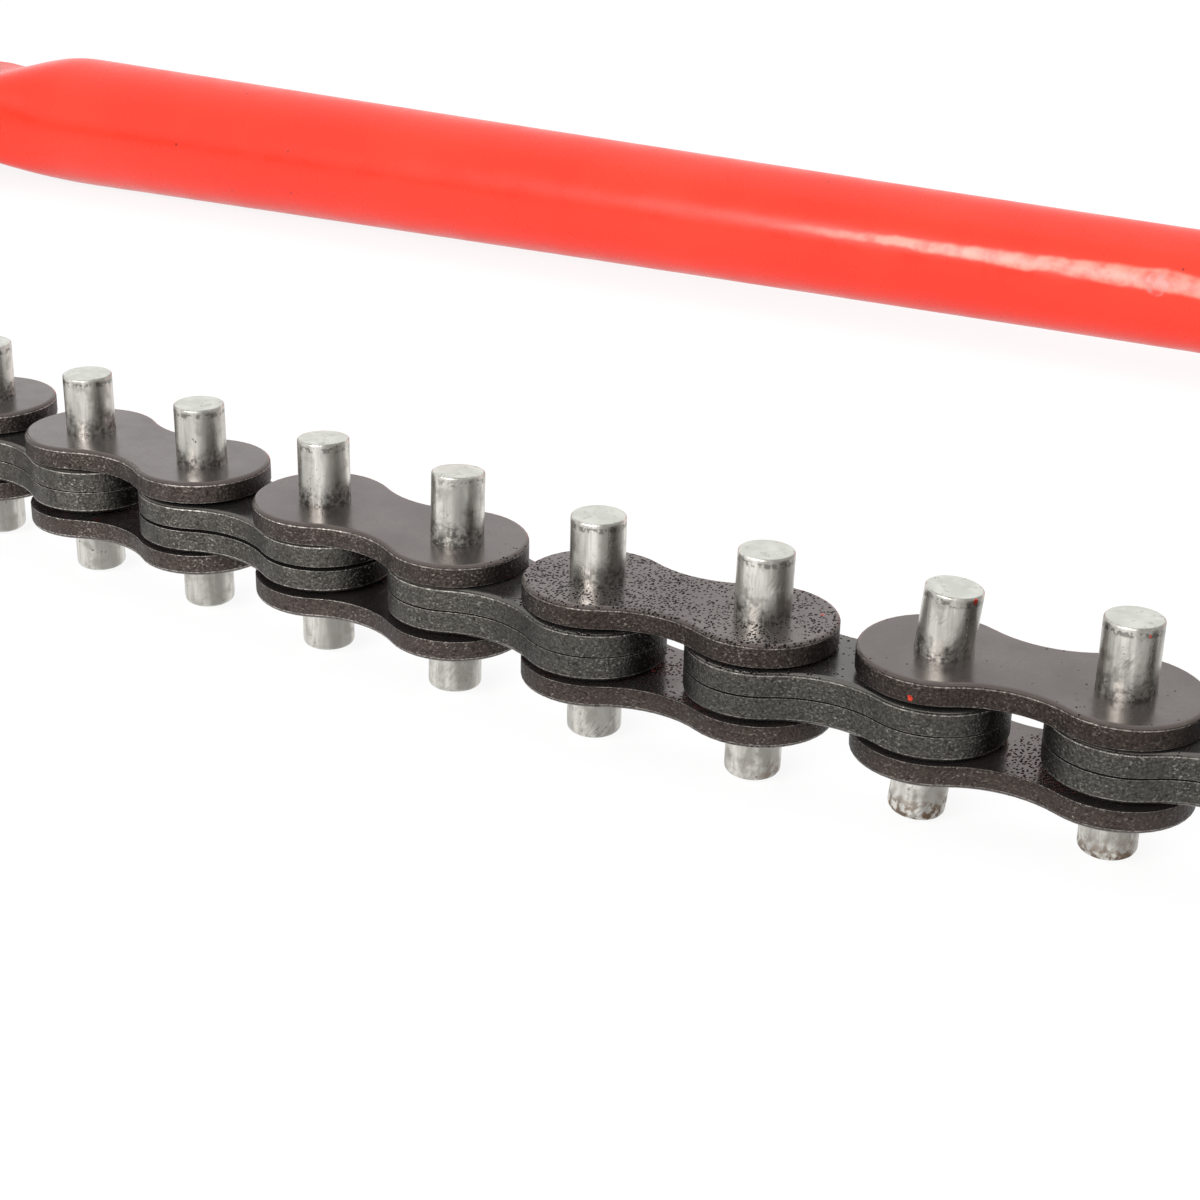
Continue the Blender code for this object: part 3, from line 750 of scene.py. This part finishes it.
def to_mesh(shape, name, sharp=40):
    bmesh.ops.recalc_face_normals(shape, faces=shape.faces)
    mesh = bpy.data.meshes.new(name)
    shape.to_mesh(mesh)
    shape.free()
    shade(mesh, sharp)
    return mesh


def combine(base, tool, operation):
    """The boolean of two meshes, as a new mesh."""
    body = put_in_scene("base", base)
    cutter = put_in_scene("tool", tool)
    cut = body.modifiers.new("cut", "BOOLEAN")
    cut.operation = operation
    cut.solver = "EXACT"
    cut.object = cutter
    graph = bpy.context.evaluated_depsgraph_get()
    result = bpy.data.meshes.new_from_object(body.evaluated_get(graph))
    for helper in (body, cutter):
        bpy.data.objects.remove(helper)
    return result


def add_piece(name, mesh, place, body, finishes, nodes):
    """A finished piece: its place goes into its mesh, and it rides on a body and stands for CAD nodes."""
    own = mesh.copy()
    own.name = name
    own.transform(place)
    if place.determinant() < 0:
        own.flip_normals()
    own.materials.clear()
    for finish in finishes:
        own.materials.append(finish)
    piece = put_in_scene(name, own)
    even = piece.modifiers.new("even_shading", "WEIGHTED_NORMAL")
    even.keep_sharp = True
    even.weight = 90
    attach(piece, body)
    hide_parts(*nodes)
    return piece


print("pen helpers are ready")

# %% [markdown]
# ## The chain
# A link plate is two round lobes with a waist between them, and a hole in each lobe. The arcs of the
# waist touch the arcs of the lobes, so the outline has no kink. Outer links are one plate above and
# one below. Inner links are two plates that lie on each other, and the line between them can be seen.


# %% Link plate
ROLLED_CORNER = 0.0007
SHEARED_CORNER = 0.00012
CORNER_STEPS = {ROLLED_CORNER: 4, SHEARED_CORNER: 2}
LOBE_STEPS = 30
WAIST_STEPS = 10
INNER_THICKNESS = 0.0037

# A pin sits tight in its outer plates, and the inner plates have room to turn and lean on it
TIGHT_HOLE = PIN_RADIUS - 0.0009
WIDE_HOLE = PIN_RADIUS + 0.0013


def link_plate(name, thickness, hole_radii, trim=0.0):
    """A stamped link plate from the pin at x = 0 to the pin at one pitch, trimmed all round.

    Its upper outer corner is rolled over by the stamp. The corners of its holes and its lower outer
    corner are sheared.
    """
    lobe = LOBE_RADIUS - trim
    waist = HALF_WAIST - trim
    half = PITCH / 2
    bend = (half**2 + waist**2 - lobe**2) / (2 * (lobe - waist))
    meet = math.degrees(math.atan2(waist + bend, half))
    around = 360 - 2 * meet
    shape = bmesh.new()
    corner = math.radians(meet)
    stroke = shape.verts.new((lobe * math.cos(corner), lobe * math.sin(corner), 0))
    stroke = sweep(shape, stroke, 0, 0, around, LOBE_STEPS)
    stroke = sweep(shape, stroke, half, -waist - bend, 2 * meet - 180, WAIST_STEPS)
    stroke = sweep(shape, stroke, PITCH, 0, around, LOBE_STEPS)
    sweep(shape, stroke, half, waist + bend, 2 * meet - 180, WAIST_STEPS)
    add_holes(shape, ((0, hole_radii[0]), (PITCH, hole_radii[1])))
    pull_plate(shape, thickness)
    rims = {ROLLED_CORNER: [], SHEARED_CORNER: []}
    for edge in shape.edges:
        if edge.calc_face_angle(0) < SHARP_TURN:
            continue
        middle = (edge.verts[0].co + edge.verts[1].co) / 2
        from_pin = min(math.hypot(middle.x, middle.y), math.hypot(middle.x - PITCH, middle.y))
        outside = from_pin > hole_radii[0] * 1.2
        rims[ROLLED_CORNER if outside and middle.z > 0 else SHEARED_CORNER].append(edge)
    for radius, edges in rims.items():
        round_edges(shape, edges, radius, CORNER_STEPS[radius])
    return to_mesh(shape, name)


INNER_TRIM = 0.0004
outer_plate = link_plate("outer_plate", PLATE_THICKNESS, (TIGHT_HOLE, TIGHT_HOLE))
inner_plate = link_plate("inner_plate", INNER_THICKNESS, (WIDE_HOLE, WIDE_HOLE), INNER_TRIM)
end_plate = link_plate("end_plate", INNER_THICKNESS, (WIDE_HOLE, TIGHT_HOLE), INNER_TRIM)
print("outer plate faces:", len(outer_plate.polygons))

# %% Pin
PIN_SIDES = 48
CRISP_END = 0.0004
TUMBLED_END = 0.0011
END_STEP = 0.0012
END_RISE = 0.00008


def chain_pin_mesh():
    """A cut length of wire. Its upper end keeps a crisp edge, its lower end is tumbled round."""
    shape = bmesh.new()
    add_cylinder(shape, PIN_RADIUS, PIN_LENGTH, PIN_SIDES)
    for side, radius in ((1, CRISP_END), (-1, TUMBLED_END)):
        rim = [edge for edge in shape.edges if all(end.co.z * side > PIN_LENGTH * 0.49 for end in edge.verts)]
        round_edges(shape, rim, radius, 4)
    ends = [face for face in shape.faces if len(face.verts) == PIN_SIDES]
    bmesh.ops.inset_region(shape, faces=ends, thickness=END_STEP, depth=END_RISE)
    mesh = to_mesh(shape, "chain_pin")
    place = mesh.attributes.new("pin_place", "FLOAT_VECTOR", "POINT")
    for vertex, entry in zip(mesh.vertices, place.data):
        entry.vector = vertex.co
    return mesh


chain_pin = chain_pin_mesh()
print("pin faces:", len(chain_pin.polygons))

# %% [markdown]
# The links have play on their pins, so they do not lie perfectly level. The inner links have sunk
# a little between the outer plates, and the links at the free end lean towards the camera.

# %% Lay out the chain
OUTER_HEIGHT = PLATE_THICKNESS + INNER_TO_OUTER + PLATE_THICKNESS / 2
INNER_SAG = 0.00025

# How much lower than its place the lower plate of an outer link hangs, and its own roll in degrees
USUAL_DROP = (0.0002, 0.0)
DROPS = {19: (0.0004, -1.0)}

# Half the open seam between the two plates of an inner link
USUAL_SEAM = 0.00007
SEAMS = {14: 0.0002}

# The roll of the lower plate of an inner link, and how far it hangs open at its far end, in degrees
LOOSE_ROLL = 0.25
USUAL_LOOSE = -0.15
LOOSE = {14: 0.2}

# For some links, the shift along the chain and the rise in metres, and the roll and pitch in degrees
LEVEL = (0.0, 0.0, 0.0, 0.0)
LEANS = {
    12: (0.0, 0.0004, 0.0, 0.0),
    13: (0.0, -0.0001, 0.0, -0.85),
    14: (0.0, 0.0003, 0.0, 0.0),
    15: (-0.0003, 0.0, 1.3, 0.8),
    16: (-0.0002, -0.0001, 0.0, 0.0),
    18: (-0.0002, 0.0001, 0.8, 0.2),
    19: (-0.0005, 0.0003, 1.5, 0.6),
    20: (0.0, 0.0003, 0.8, 0.2),
}

# For some pins, the same four, with the lean about the middle of the upper plate
PIN_LEANS = {
    14: (0.00035, 0.0001, -3.5, -2.9),
    15: (0.0001, 0.0006, -5.8, -2.9),
    17: (0.0, -0.0001, -1.5, 0.2),
    18: (0.0008, -0.00045, -3.0, 3.8),
    19: (0.0, 0.0005, -2.7, -0.8),
}


def leaning(roll, pitch):
    return Matrix.Rotation(math.radians(pitch), 4, "Y") @ Matrix.Rotation(math.radians(roll), 4, "X")


def link_frame(number):
    """Where a link lies: at its first pin, turned towards its second pin, with its own small lean."""
    start, end = pin_places[number - 1], pin_places[number]
    heading = math.atan2(end.y - start.y, end.x - start.x)
    along, rise, roll, pitch = LEANS.get(number, LEVEL)
    if number % 2 == 0:
        rise -= INNER_SAG
    place = Matrix.Translation((start.x, start.y, MIDDLE_Z + rise))
    return place @ Matrix.Rotation(heading, 4, "Z") @ Matrix.Translation((along, 0, 0)) @ leaning(roll, pitch)


def place_pin(number, link, along):
    """A pin of a link, at its first pin place or one pitch further along."""
    shift, rise, roll, pitch = PIN_LEANS.get(number, LEVEL)
    rise += pin_places[number].z - MIDDLE_Z
    held = Matrix.Translation((along + shift, 0, OUTER_HEIGHT))
    place = link_frame(link) @ held @ leaning(roll, pitch) @ Matrix.Translation((0, 0, rise - OUTER_HEIGHT))
    # Turned back about its own axis, so that every pin shows the same side to the photograph
    heading = link_frame(link).to_euler().z
    place = place @ Matrix.Rotation(-heading, 4, "Z")
    name = f"chain_pin_{number:02d}"
    add_piece(name, chain_pin, place, f"link_{link:02d}", [zinc_pin], [f"pin_{number:02d}"])


for number in range(1, LINKS + 1):
    body = f"link_{number:02d}"
    if number % 2:
        drop, roll = DROPS.get(number, USUAL_DROP)
        seats = (("upper", 1, OUTER_HEIGHT, 0.0), ("lower", -1, -OUTER_HEIGHT - drop, roll))
        for side, sign, height, roll in seats:
            node = f"outer_plate_{side}_{number:02d}"
            flip = Matrix.Diagonal((1, 1, sign, 1))
            place = link_frame(number) @ Matrix.Translation((0, 0, height)) @ leaning(roll, 0.0) @ flip
            name = f"stamped_outer_{side}_{number:02d}"
            add_piece(name, outer_plate, place, body, [outer_steel], [node])
        place_pin(number - 1, number, 0)
        place_pin(number, number, PITCH)
    else:
        node = f"inner_plates_{number:02d}"
        for side, sign in (("upper", 1), ("lower", -1)):
            flip = Matrix.Diagonal((1, 1, sign, 1))
            seam = SEAMS.get(number, USUAL_SEAM)
            height = Matrix.Translation((0, 0, sign * (INNER_THICKNESS / 2 + seam)))
            loose = Matrix()
            if side == "lower":
                loose = leaning(LOOSE_ROLL, LOOSE.get(number, USUAL_LOOSE))
            place = link_frame(number) @ height @ loose @ flip
            name = f"stamped_inner_{side}_{number:02d}"
            plate = end_plate if number == LINKS else inner_plate
            add_piece(name, plate, place, body, [inner_steel], [node])
place_pin(LINKS, LINKS, PITCH)
print("links:", LINKS)

# %% [markdown]
# ## The handle
# The handle is one forging: a flat tang with two bolt holes, which swells into a round neck and tapers
# to the end with its hanging hole. The bar is grown ring by ring. Each ring is pulled out of the last
# one and moved to its own section, from nearly square at the tang to round at the neck.

# %% Handle sizes
FOOT_X = 0.0495
TANG_ROUND_X = 0.022
TANG_TAPER_X = 0.0515
TANG_TAPER = 0.0024
TANG_END_X = 0.060
HALF_TANG = 0.021
NECK_X = 0.098
NECK_RADIUS = 0.0167
NECK_STEPS = 16
END_X = 0.860
END_RADIUS = 0.011
END_ROUND = 0.005
TAPER_POWER = 2.1
TAPER_STEPS = 36
BAR_SIDES = 72
HANG_X = 0.842
HANG_RADIUS = 0.005
HANG_DRILL_LENGTH = 0.04
HANG_MOUTH = 0.0007

# The power of a section's curve: 2 draws an ellipse, and a high one nearly a rectangle
ROUND_SECTION = 2
TANG_SECTION = 10


def bar_radius(x):
    along = (x - NECK_X) / (END_X - NECK_X)
    return END_RADIUS + (NECK_RADIUS - END_RADIUS) * (1 - along) ** TAPER_POWER


print(f"handle: {END_X * 1000:.0f} mm to its end, {NECK_RADIUS * 2000:.1f} mm thick at the neck")

# %% Grow the bar
def bar_stations():
    """The bar's sections as (x, half width, half height, squareness)."""
    stations = []
    for step in range(NECK_STEPS + 1):
        share = step / NECK_STEPS
        ease = share * share * (3 - 2 * share)
        width = HALF_TANG - SEAT_GAP + (NECK_RADIUS - HALF_TANG + SEAT_GAP) * ease
        start_height = TANG_THICKNESS / 2 - SEAT_GAP
        height = start_height + (NECK_RADIUS - start_height) * ease
        squareness = ROUND_SECTION + (TANG_SECTION - ROUND_SECTION) * (1 - share) ** 1.8
        stations.append((FOOT_X + (NECK_X - FOOT_X) * share, width, height, squareness))
    straight = END_X - END_ROUND
    for step in range(1, TAPER_STEPS + 1):
        x = NECK_X + (straight - NECK_X) * step / TAPER_STEPS
        stations.append((x, bar_radius(x), bar_radius(x), ROUND_SECTION))
    for degrees in (15, 30, 45, 60, 75):
        turned = math.radians(degrees)
        radius = bar_radius(straight) - END_ROUND * (1 - math.cos(turned))
        stations.append((straight + END_ROUND * math.sin(turned), radius, radius, ROUND_SECTION))
    return stations


shape = bmesh.new()
spoke = shape.verts.layers.float.new("spoke")
ring = bmesh.ops.create_circle(shape, cap_ends=False, segments=BAR_SIDES, radius=1)["verts"]
for vertex in ring:
    vertex[spoke] = math.atan2(vertex.co.y, vertex.co.x)
rim = shape.edges[:]
for index, (x, width, height, squareness) in enumerate(bar_stations()):
    if index:
        grown = bmesh.ops.extrude_edge_only(shape, edges=rim)["geom"]
        ring = [item for item in grown if isinstance(item, bmesh.types.BMVert)]
        rim = [item for item in grown if isinstance(item, bmesh.types.BMEdge)]
        rim = [edge for edge in rim if all(end in ring for end in edge.verts)]
    for vertex in ring:
        aside, upwards = math.cos(vertex[spoke]), math.sin(vertex[spoke])
        y = math.copysign(abs(aside) ** (2 / squareness), aside) * width
        z = math.copysign(abs(upwards) ** (2 / squareness), upwards) * height
        vertex.co = (x, y, z)
bmesh.ops.holes_fill(shape, edges=shape.edges[:], sides=0)
bar = to_mesh(shape, "bar")
print("bar faces:", len(bar.polygons))

# %% Tang, hanging hole and the whole handle
shape = bmesh.new()
first = shape.verts.new((TANG_END_X, HALF_TANG - TANG_TAPER, 0))
stroke = pull_to(shape, first, (TANG_TAPER_X, HALF_TANG), (TANG_ROUND_X, HALF_TANG))
stroke = sweep(shape, stroke, TANG_ROUND_X, 0, 180, 32)
pull_to(shape, stroke, (TANG_TAPER_X, -HALF_TANG), (TANG_END_X, TANG_TAPER - HALF_TANG), first.co.xy)
add_holes(shape, [(x, BOLT_RADIUS + HOLE_GAP) for x in BOLT_XS])
pull_plate(shape, TANG_THICKNESS)
break_corners(shape, 0.0006)
handle = combine(to_mesh(shape, "tang"), bar, "UNION")

shape = bmesh.new()
add_cylinder(shape, HANG_RADIUS, HANG_DRILL_LENGTH, HOLE_SIDES, Matrix.Translation((HANG_X, 0, 0)))
handle = combine(handle, to_mesh(shape, "hang_drill"), "DIFFERENCE")
shape = bmesh.new()
shape.from_mesh(handle)
bmesh.ops.remove_doubles(shape, verts=shape.verts, dist=0.00001)
mouth = []
for edge in shape.edges:
    middle = (edge.verts[0].co + edge.verts[1].co) / 2
    beside_hole = math.hypot(middle.x - HANG_X, middle.y) < HANG_RADIUS * 1.05
    if beside_hole and edge.calc_face_angle(0) > math.radians(40):
        mouth.append(edge)
round_edges(shape, mouth, HANG_MOUTH, 3)
handle = to_mesh(shape, "handle_forging", 35)
upright = Matrix.Translation((0, 0, MIDDLE_Z))
add_piece("handle_forging", handle, upright, "head", [enamel], ["handle"])
print("handle faces:", len(handle.polygons))

# %% [markdown]
# ## The jaws
# Two equal jaw plates are bolted to the tang, one on each side. The front has a toothed V that grips
# the pipe, and a notch on each flank that catches a chain pin, so the wrench works both ways.
# Half the outline is drawn and mirrored. The tooth faces get a brighter, worn finish.

# %% Jaw plate
SEAT_ROOT_X = -0.046
JAW_TIP_X = -0.077
HALF_TIP = 0.031
HALF_JAW = 0.044
TEETH = 8
TOOTH_DEPTH = 0.0024
NOTCH_X = -0.0535
HALF_NOTCH = 0.0052
NOTCH_SEAT_Y = 0.033
NOSE = (-0.0722, 0.041)
NOSE_ROUND = (-0.067, 0.038)
HALF_SHOULDER = 0.042
SHOULDER_ROUND = (-0.042, 0.036)
WAIST = (-0.018, 0.031)
HEEL = (0.042627, 0.017967)
HEEL_ROUND = (0.042, 0.012)
HEEL_X = 0.048


def jaw_plate(name):
    shape = bmesh.new()
    stroke = shape.verts.new((SEAT_ROOT_X, 0, 0))
    along = Vector((JAW_TIP_X - SEAT_ROOT_X, HALF_TIP)) / TEETH
    inward = Vector((along.y, -along.x)).normalized() * TOOTH_DEPTH
    for tooth in range(TEETH):
        peak = Vector((SEAT_ROOT_X, 0)) + along * (tooth + 1)
        stroke = pull_to(shape, stroke, peak - along / 2 + inward, peak)
    stroke = pull_to(shape, stroke, NOSE)
    stroke = sweep(shape, stroke, *NOSE_ROUND, -60, 6)
    stroke = pull_to(shape, stroke, (NOTCH_X - HALF_NOTCH, HALF_JAW), (NOTCH_X - HALF_NOTCH, NOTCH_SEAT_Y))
    stroke = sweep(shape, stroke, NOTCH_X, NOTCH_SEAT_Y, 180, 18)
    shoulder = (NOTCH_X + HALF_NOTCH, HALF_SHOULDER), (SHOULDER_ROUND[0], HALF_SHOULDER)
    stroke = pull_to(shape, stroke, *shoulder)
    stroke = sweep(shape, stroke, *SHOULDER_ROUND, -50, 6)
    stroke = pull_to(shape, stroke, WAIST, HEEL)
    stroke = sweep(shape, stroke, *HEEL_ROUND, -84, 8)
    pull_to(shape, stroke, (HEEL_X, 0))
    half = shape.verts[:] + shape.edges[:]
    bmesh.ops.mirror(shape, geom=half, matrix=Matrix.Identity(4), merge_dist=WELD, axis="Y")
    add_holes(shape, [(ANCHOR_X, ANCHOR_RADIUS + HOLE_GAP)] + [(x, BOLT_RADIUS + HOLE_GAP) for x in BOLT_XS])
    pull_plate(shape, JAW_THICKNESS)
    break_corners(shape, 0.0005)
    for face in shape.faces:
        middle = face.calc_center_median()
        seat_x = JAW_TIP_X + (HALF_TIP - abs(middle.y))
        in_seat = middle.x < seat_x + 0.0032 and abs(middle.y) < HALF_TIP
        if in_seat and abs(face.normal.z) < 0.6:
            face.material_index = 1
    return to_mesh(shape, name, 30)


jaw = jaw_plate("jaw")
jaw_height = TANG_THICKNESS / 2 + SEAT_GAP + JAW_THICKNESS / 2
upper = Matrix.Translation((0, 0, MIDDLE_Z + jaw_height))
add_piece("forged_jaw_upper", jaw, upper, "head", [jaw_steel, tooth_steel], ["jaw_upper"])
print("jaw faces:", len(jaw.polygons))


# %% Countersinks of the lower jaw
TURNED_SIDES = 48
SINK_RADIUS = 0.0103
SINK_END_Z = 0.0046
HEAD_Z = 0.0003


def turned(name, profile):
    """Spins a profile of (radius, height) points about the upright axis into a closed solid."""
    shape = bmesh.new()
    points = [(radius, 0, height) for radius, height in profile]
    pull_to(shape, shape.verts.new(points[0]), *points[1:])
    bmesh.ops.spin(
        shape, geom=shape.verts[:] + shape.edges[:], cent=(0, 0, 0), axis=(0, 0, 1), dvec=(0, 0, 0),
        angle=2 * math.pi, space=Matrix.Identity(4), steps=TURNED_SIDES,
        use_merge=True, use_normal_flip=False, use_duplicate=False,
    )
    bmesh.ops.remove_doubles(shape, verts=shape.verts, dist=0.00001)
    return to_mesh(shape, name, 30)


def shifted(mesh, x=0.0, z=0.0):
    copy = mesh.copy()
    copy.transform(Matrix.Translation((x, 0, z)))
    return copy


sink = turned("sink", [
    (0, SINK_END_Z), (BOLT_RADIUS, SINK_END_Z), (SINK_RADIUS, HEAD_Z), (SINK_RADIUS, -0.002), (0, -0.002),
])
lower_jaw = shifted(jaw, z=MIDDLE_Z - jaw_height)
for x in BOLT_XS:
    lower_jaw = combine(lower_jaw, shifted(sink, x), "DIFFERENCE")
shade(lower_jaw, 30)
jaw_finishes = [jaw_steel, tooth_steel]
add_piece("forged_jaw_lower", lower_jaw, Matrix(), "head", jaw_finishes, ["jaw_lower"])
print("lower jaw faces:", len(lower_jaw.polygons))

# %% [markdown]
# ## Bolts, nuts and the anchor pin
# The bolts come up through the lower jaw with their heads sunk, and their ends stand out of the nuts
# with a few turns of thread. The nuts are hexagons whose corners are turned off by a cone.

# %% Fasteners
NUT_HEIGHT = 0.010
NUT_ACROSS_FLATS = 0.019
BOLT_STANDS_OUT = 0.0025
THREAD_TURNS = 9
THREAD_STEP = 0.00125
THREAD_DEPTH = 0.0007
THREAD_CREST = 0.0002
FIRST_CREST = 0.0006
SOCKET_RADIUS = 0.0046
SOCKET_DEPTH = 0.003
seat = HEAD_TOP + SEAT_GAP
tip = seat + NUT_HEIGHT + BOLT_STANDS_OUT

bolt_profile = [(0, tip), (0.0045, tip)]
for turn_number in range(THREAD_TURNS):
    crest = tip - FIRST_CREST - turn_number * THREAD_STEP
    bolt_profile.append((BOLT_RADIUS, crest))
    bolt_profile.append((BOLT_RADIUS, crest - THREAD_CREST))
    bolt_profile.append((BOLT_RADIUS - THREAD_DEPTH, crest - THREAD_DEPTH))
bolt_profile += [(BOLT_RADIUS, seat), (BOLT_RADIUS, 0.0043), (0.0099, 0.0004), (0.0098, HEAD_Z), (0, HEAD_Z)]
bolt = turned("bolt", bolt_profile)
shape = bmesh.new()
add_cylinder(shape, SOCKET_RADIUS, SOCKET_DEPTH * 2, 6, Matrix.Translation((0, 0, HEAD_Z)))
bolt = combine(bolt, to_mesh(shape, "socket"), "DIFFERENCE")

shape = bmesh.new()
bmesh.ops.create_circle(shape, cap_ends=False, segments=6, radius=NUT_ACROSS_FLATS / math.sqrt(3))
add_holes(shape, [(0, BOLT_RADIUS + 0.0001)])
pull_plate(shape, NUT_HEIGHT)
hexagon = to_mesh(shape, "hexagon", 20)
half_nut = NUT_HEIGHT / 2
cone = turned("cone", [
    (0, half_nut), (0.0091, half_nut), (0.0130, 0.0029), (0.0130, -0.0029), (0.0091, -half_nut), (0, -half_nut),
])
nut = combine(hexagon, cone, "INTERSECT")
for mesh in (bolt, nut):
    shade(mesh, 28)
for number, x in enumerate(BOLT_XS, start=1):
    across = Matrix.Translation((x, 0, 0))
    add_piece(f"bolt_{number}", bolt, across, "head", [plated], [f"jaw_bolt_{number}"])
    turned_nut = Matrix.Translation((x, 0, seat + NUT_HEIGHT / 2)) @ Matrix.Rotation(0.4 * number, 4, "Z")
    add_piece(f"nut_{number}", nut, turned_nut, "head", [plated], [f"jaw_nut_{number}"])
print("bolt faces:", len(bolt.polygons), "nut faces:", len(nut.polygons))

# %% Anchor pin
dome = [(0, seat + 0.004), (0.0035, seat + 0.0039), (0.0068, seat + 0.0034), (0.0088, seat + 0.0026)]
dome += [(0.0098, seat + 0.0015), (0.01, seat + 0.0006), (0.0098, seat)]
shank = [(ANCHOR_RADIUS, seat), (ANCHOR_RADIUS, 0.0011), (0.0058, HEAD_Z), (0, HEAD_Z)]
anchor = turned("anchor", dome + shank)
across = Matrix.Translation((ANCHOR_X, 0, 0))
add_piece("anchor_rivet", anchor, across, "head", [plated], ["anchor_pin"])
print("anchor faces:", len(anchor.polygons))

# %% [markdown]
# ## The shackle
# The shackle is a forged bar with a round eye on the anchor pin. Its front end thins to a tongue that
# fits between the first two outer plates. Both forms are plates, and a union makes them one solid.

# %% Shackle
SHACKLE_LENGTH = 0.074
SHACKLE_THICKNESS = 0.0146
EYE_RADIUS = 0.012
EYE_OPENING = 52
EYE_NECK = (0.0165, 0.0085)
BAR_START_X = 0.0266
HALF_BAR = 0.008
BAR_END_X = SHACKLE_LENGTH - LOBE_RADIUS - 0.0022
TONGUE_START_X = 0.037
HALF_TONGUE = 0.0073
TONGUE_OPENING = 125
SHACKLE_HOLE_GAP = 0.0004


def arc_start(x, radius, degrees):
    """The point at an angle on a circle about a point of the centre line."""
    return Vector((x + radius * math.cos(math.radians(degrees)), radius * math.sin(math.radians(degrees)), 0))


shape = bmesh.new()
first = arc_start(0, EYE_RADIUS, EYE_OPENING)
stroke = sweep(shape, shape.verts.new(first), 0, 0, 360 - 2 * EYE_OPENING, 36)
pull_to(
    shape, stroke, (EYE_NECK[0], -EYE_NECK[1]), (BAR_START_X, -HALF_BAR), (BAR_END_X, -HALF_BAR),
    (BAR_END_X, HALF_BAR), (BAR_START_X, HALF_BAR), EYE_NECK, first.xy,
)
add_holes(shape, [(0, ANCHOR_RADIUS + SHACKLE_HOLE_GAP)])
pull_plate(shape, SHACKLE_THICKNESS)
break_corners(shape, 0.0012, 4)
thick = to_mesh(shape, "shackle_bar")

shape = bmesh.new()
first = arc_start(SHACKLE_LENGTH, LOBE_RADIUS, -TONGUE_OPENING)
stroke = sweep(shape, shape.verts.new(first), SHACKLE_LENGTH, 0, 2 * TONGUE_OPENING, 30)
pull_to(shape, stroke, (TONGUE_START_X, HALF_TONGUE), (TONGUE_START_X, -HALF_TONGUE), first.xy)
add_holes(shape, [(SHACKLE_LENGTH, PIN_RADIUS + SHACKLE_HOLE_GAP)])
pull_plate(shape, 2 * PLATE_THICKNESS)
break_corners(shape, 0.0004)
shackle = combine(thick, to_mesh(shape, "tongue"), "UNION")
shade(shackle, 38)
start = Vector((ANCHOR_X, 0, MIDDLE_Z))
reach = pin_places[0] - start
heading = Matrix.Rotation(math.atan2(reach.y, reach.x), 4, "Z")
add_piece(
    "forged_shackle", shackle, Matrix.Translation(start) @ heading, "shackle",
    [shackle_steel], ["shackle"],
)
print("shackle faces:", len(shackle.polygons))

# %% [markdown]
# ## Finish
# The picture keeps plain colours, so the view transform is Standard.

# %% Finish
bpy.context.scene.view_settings.view_transform = "Standard"
shown_low, shown_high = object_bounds()
grown = [round((abs(b - a)) * 1000, 2) for a, b in zip((*plain_low, *plain_high), (*shown_low, *shown_high))]
print("difference to the plain model in mm:", grown)
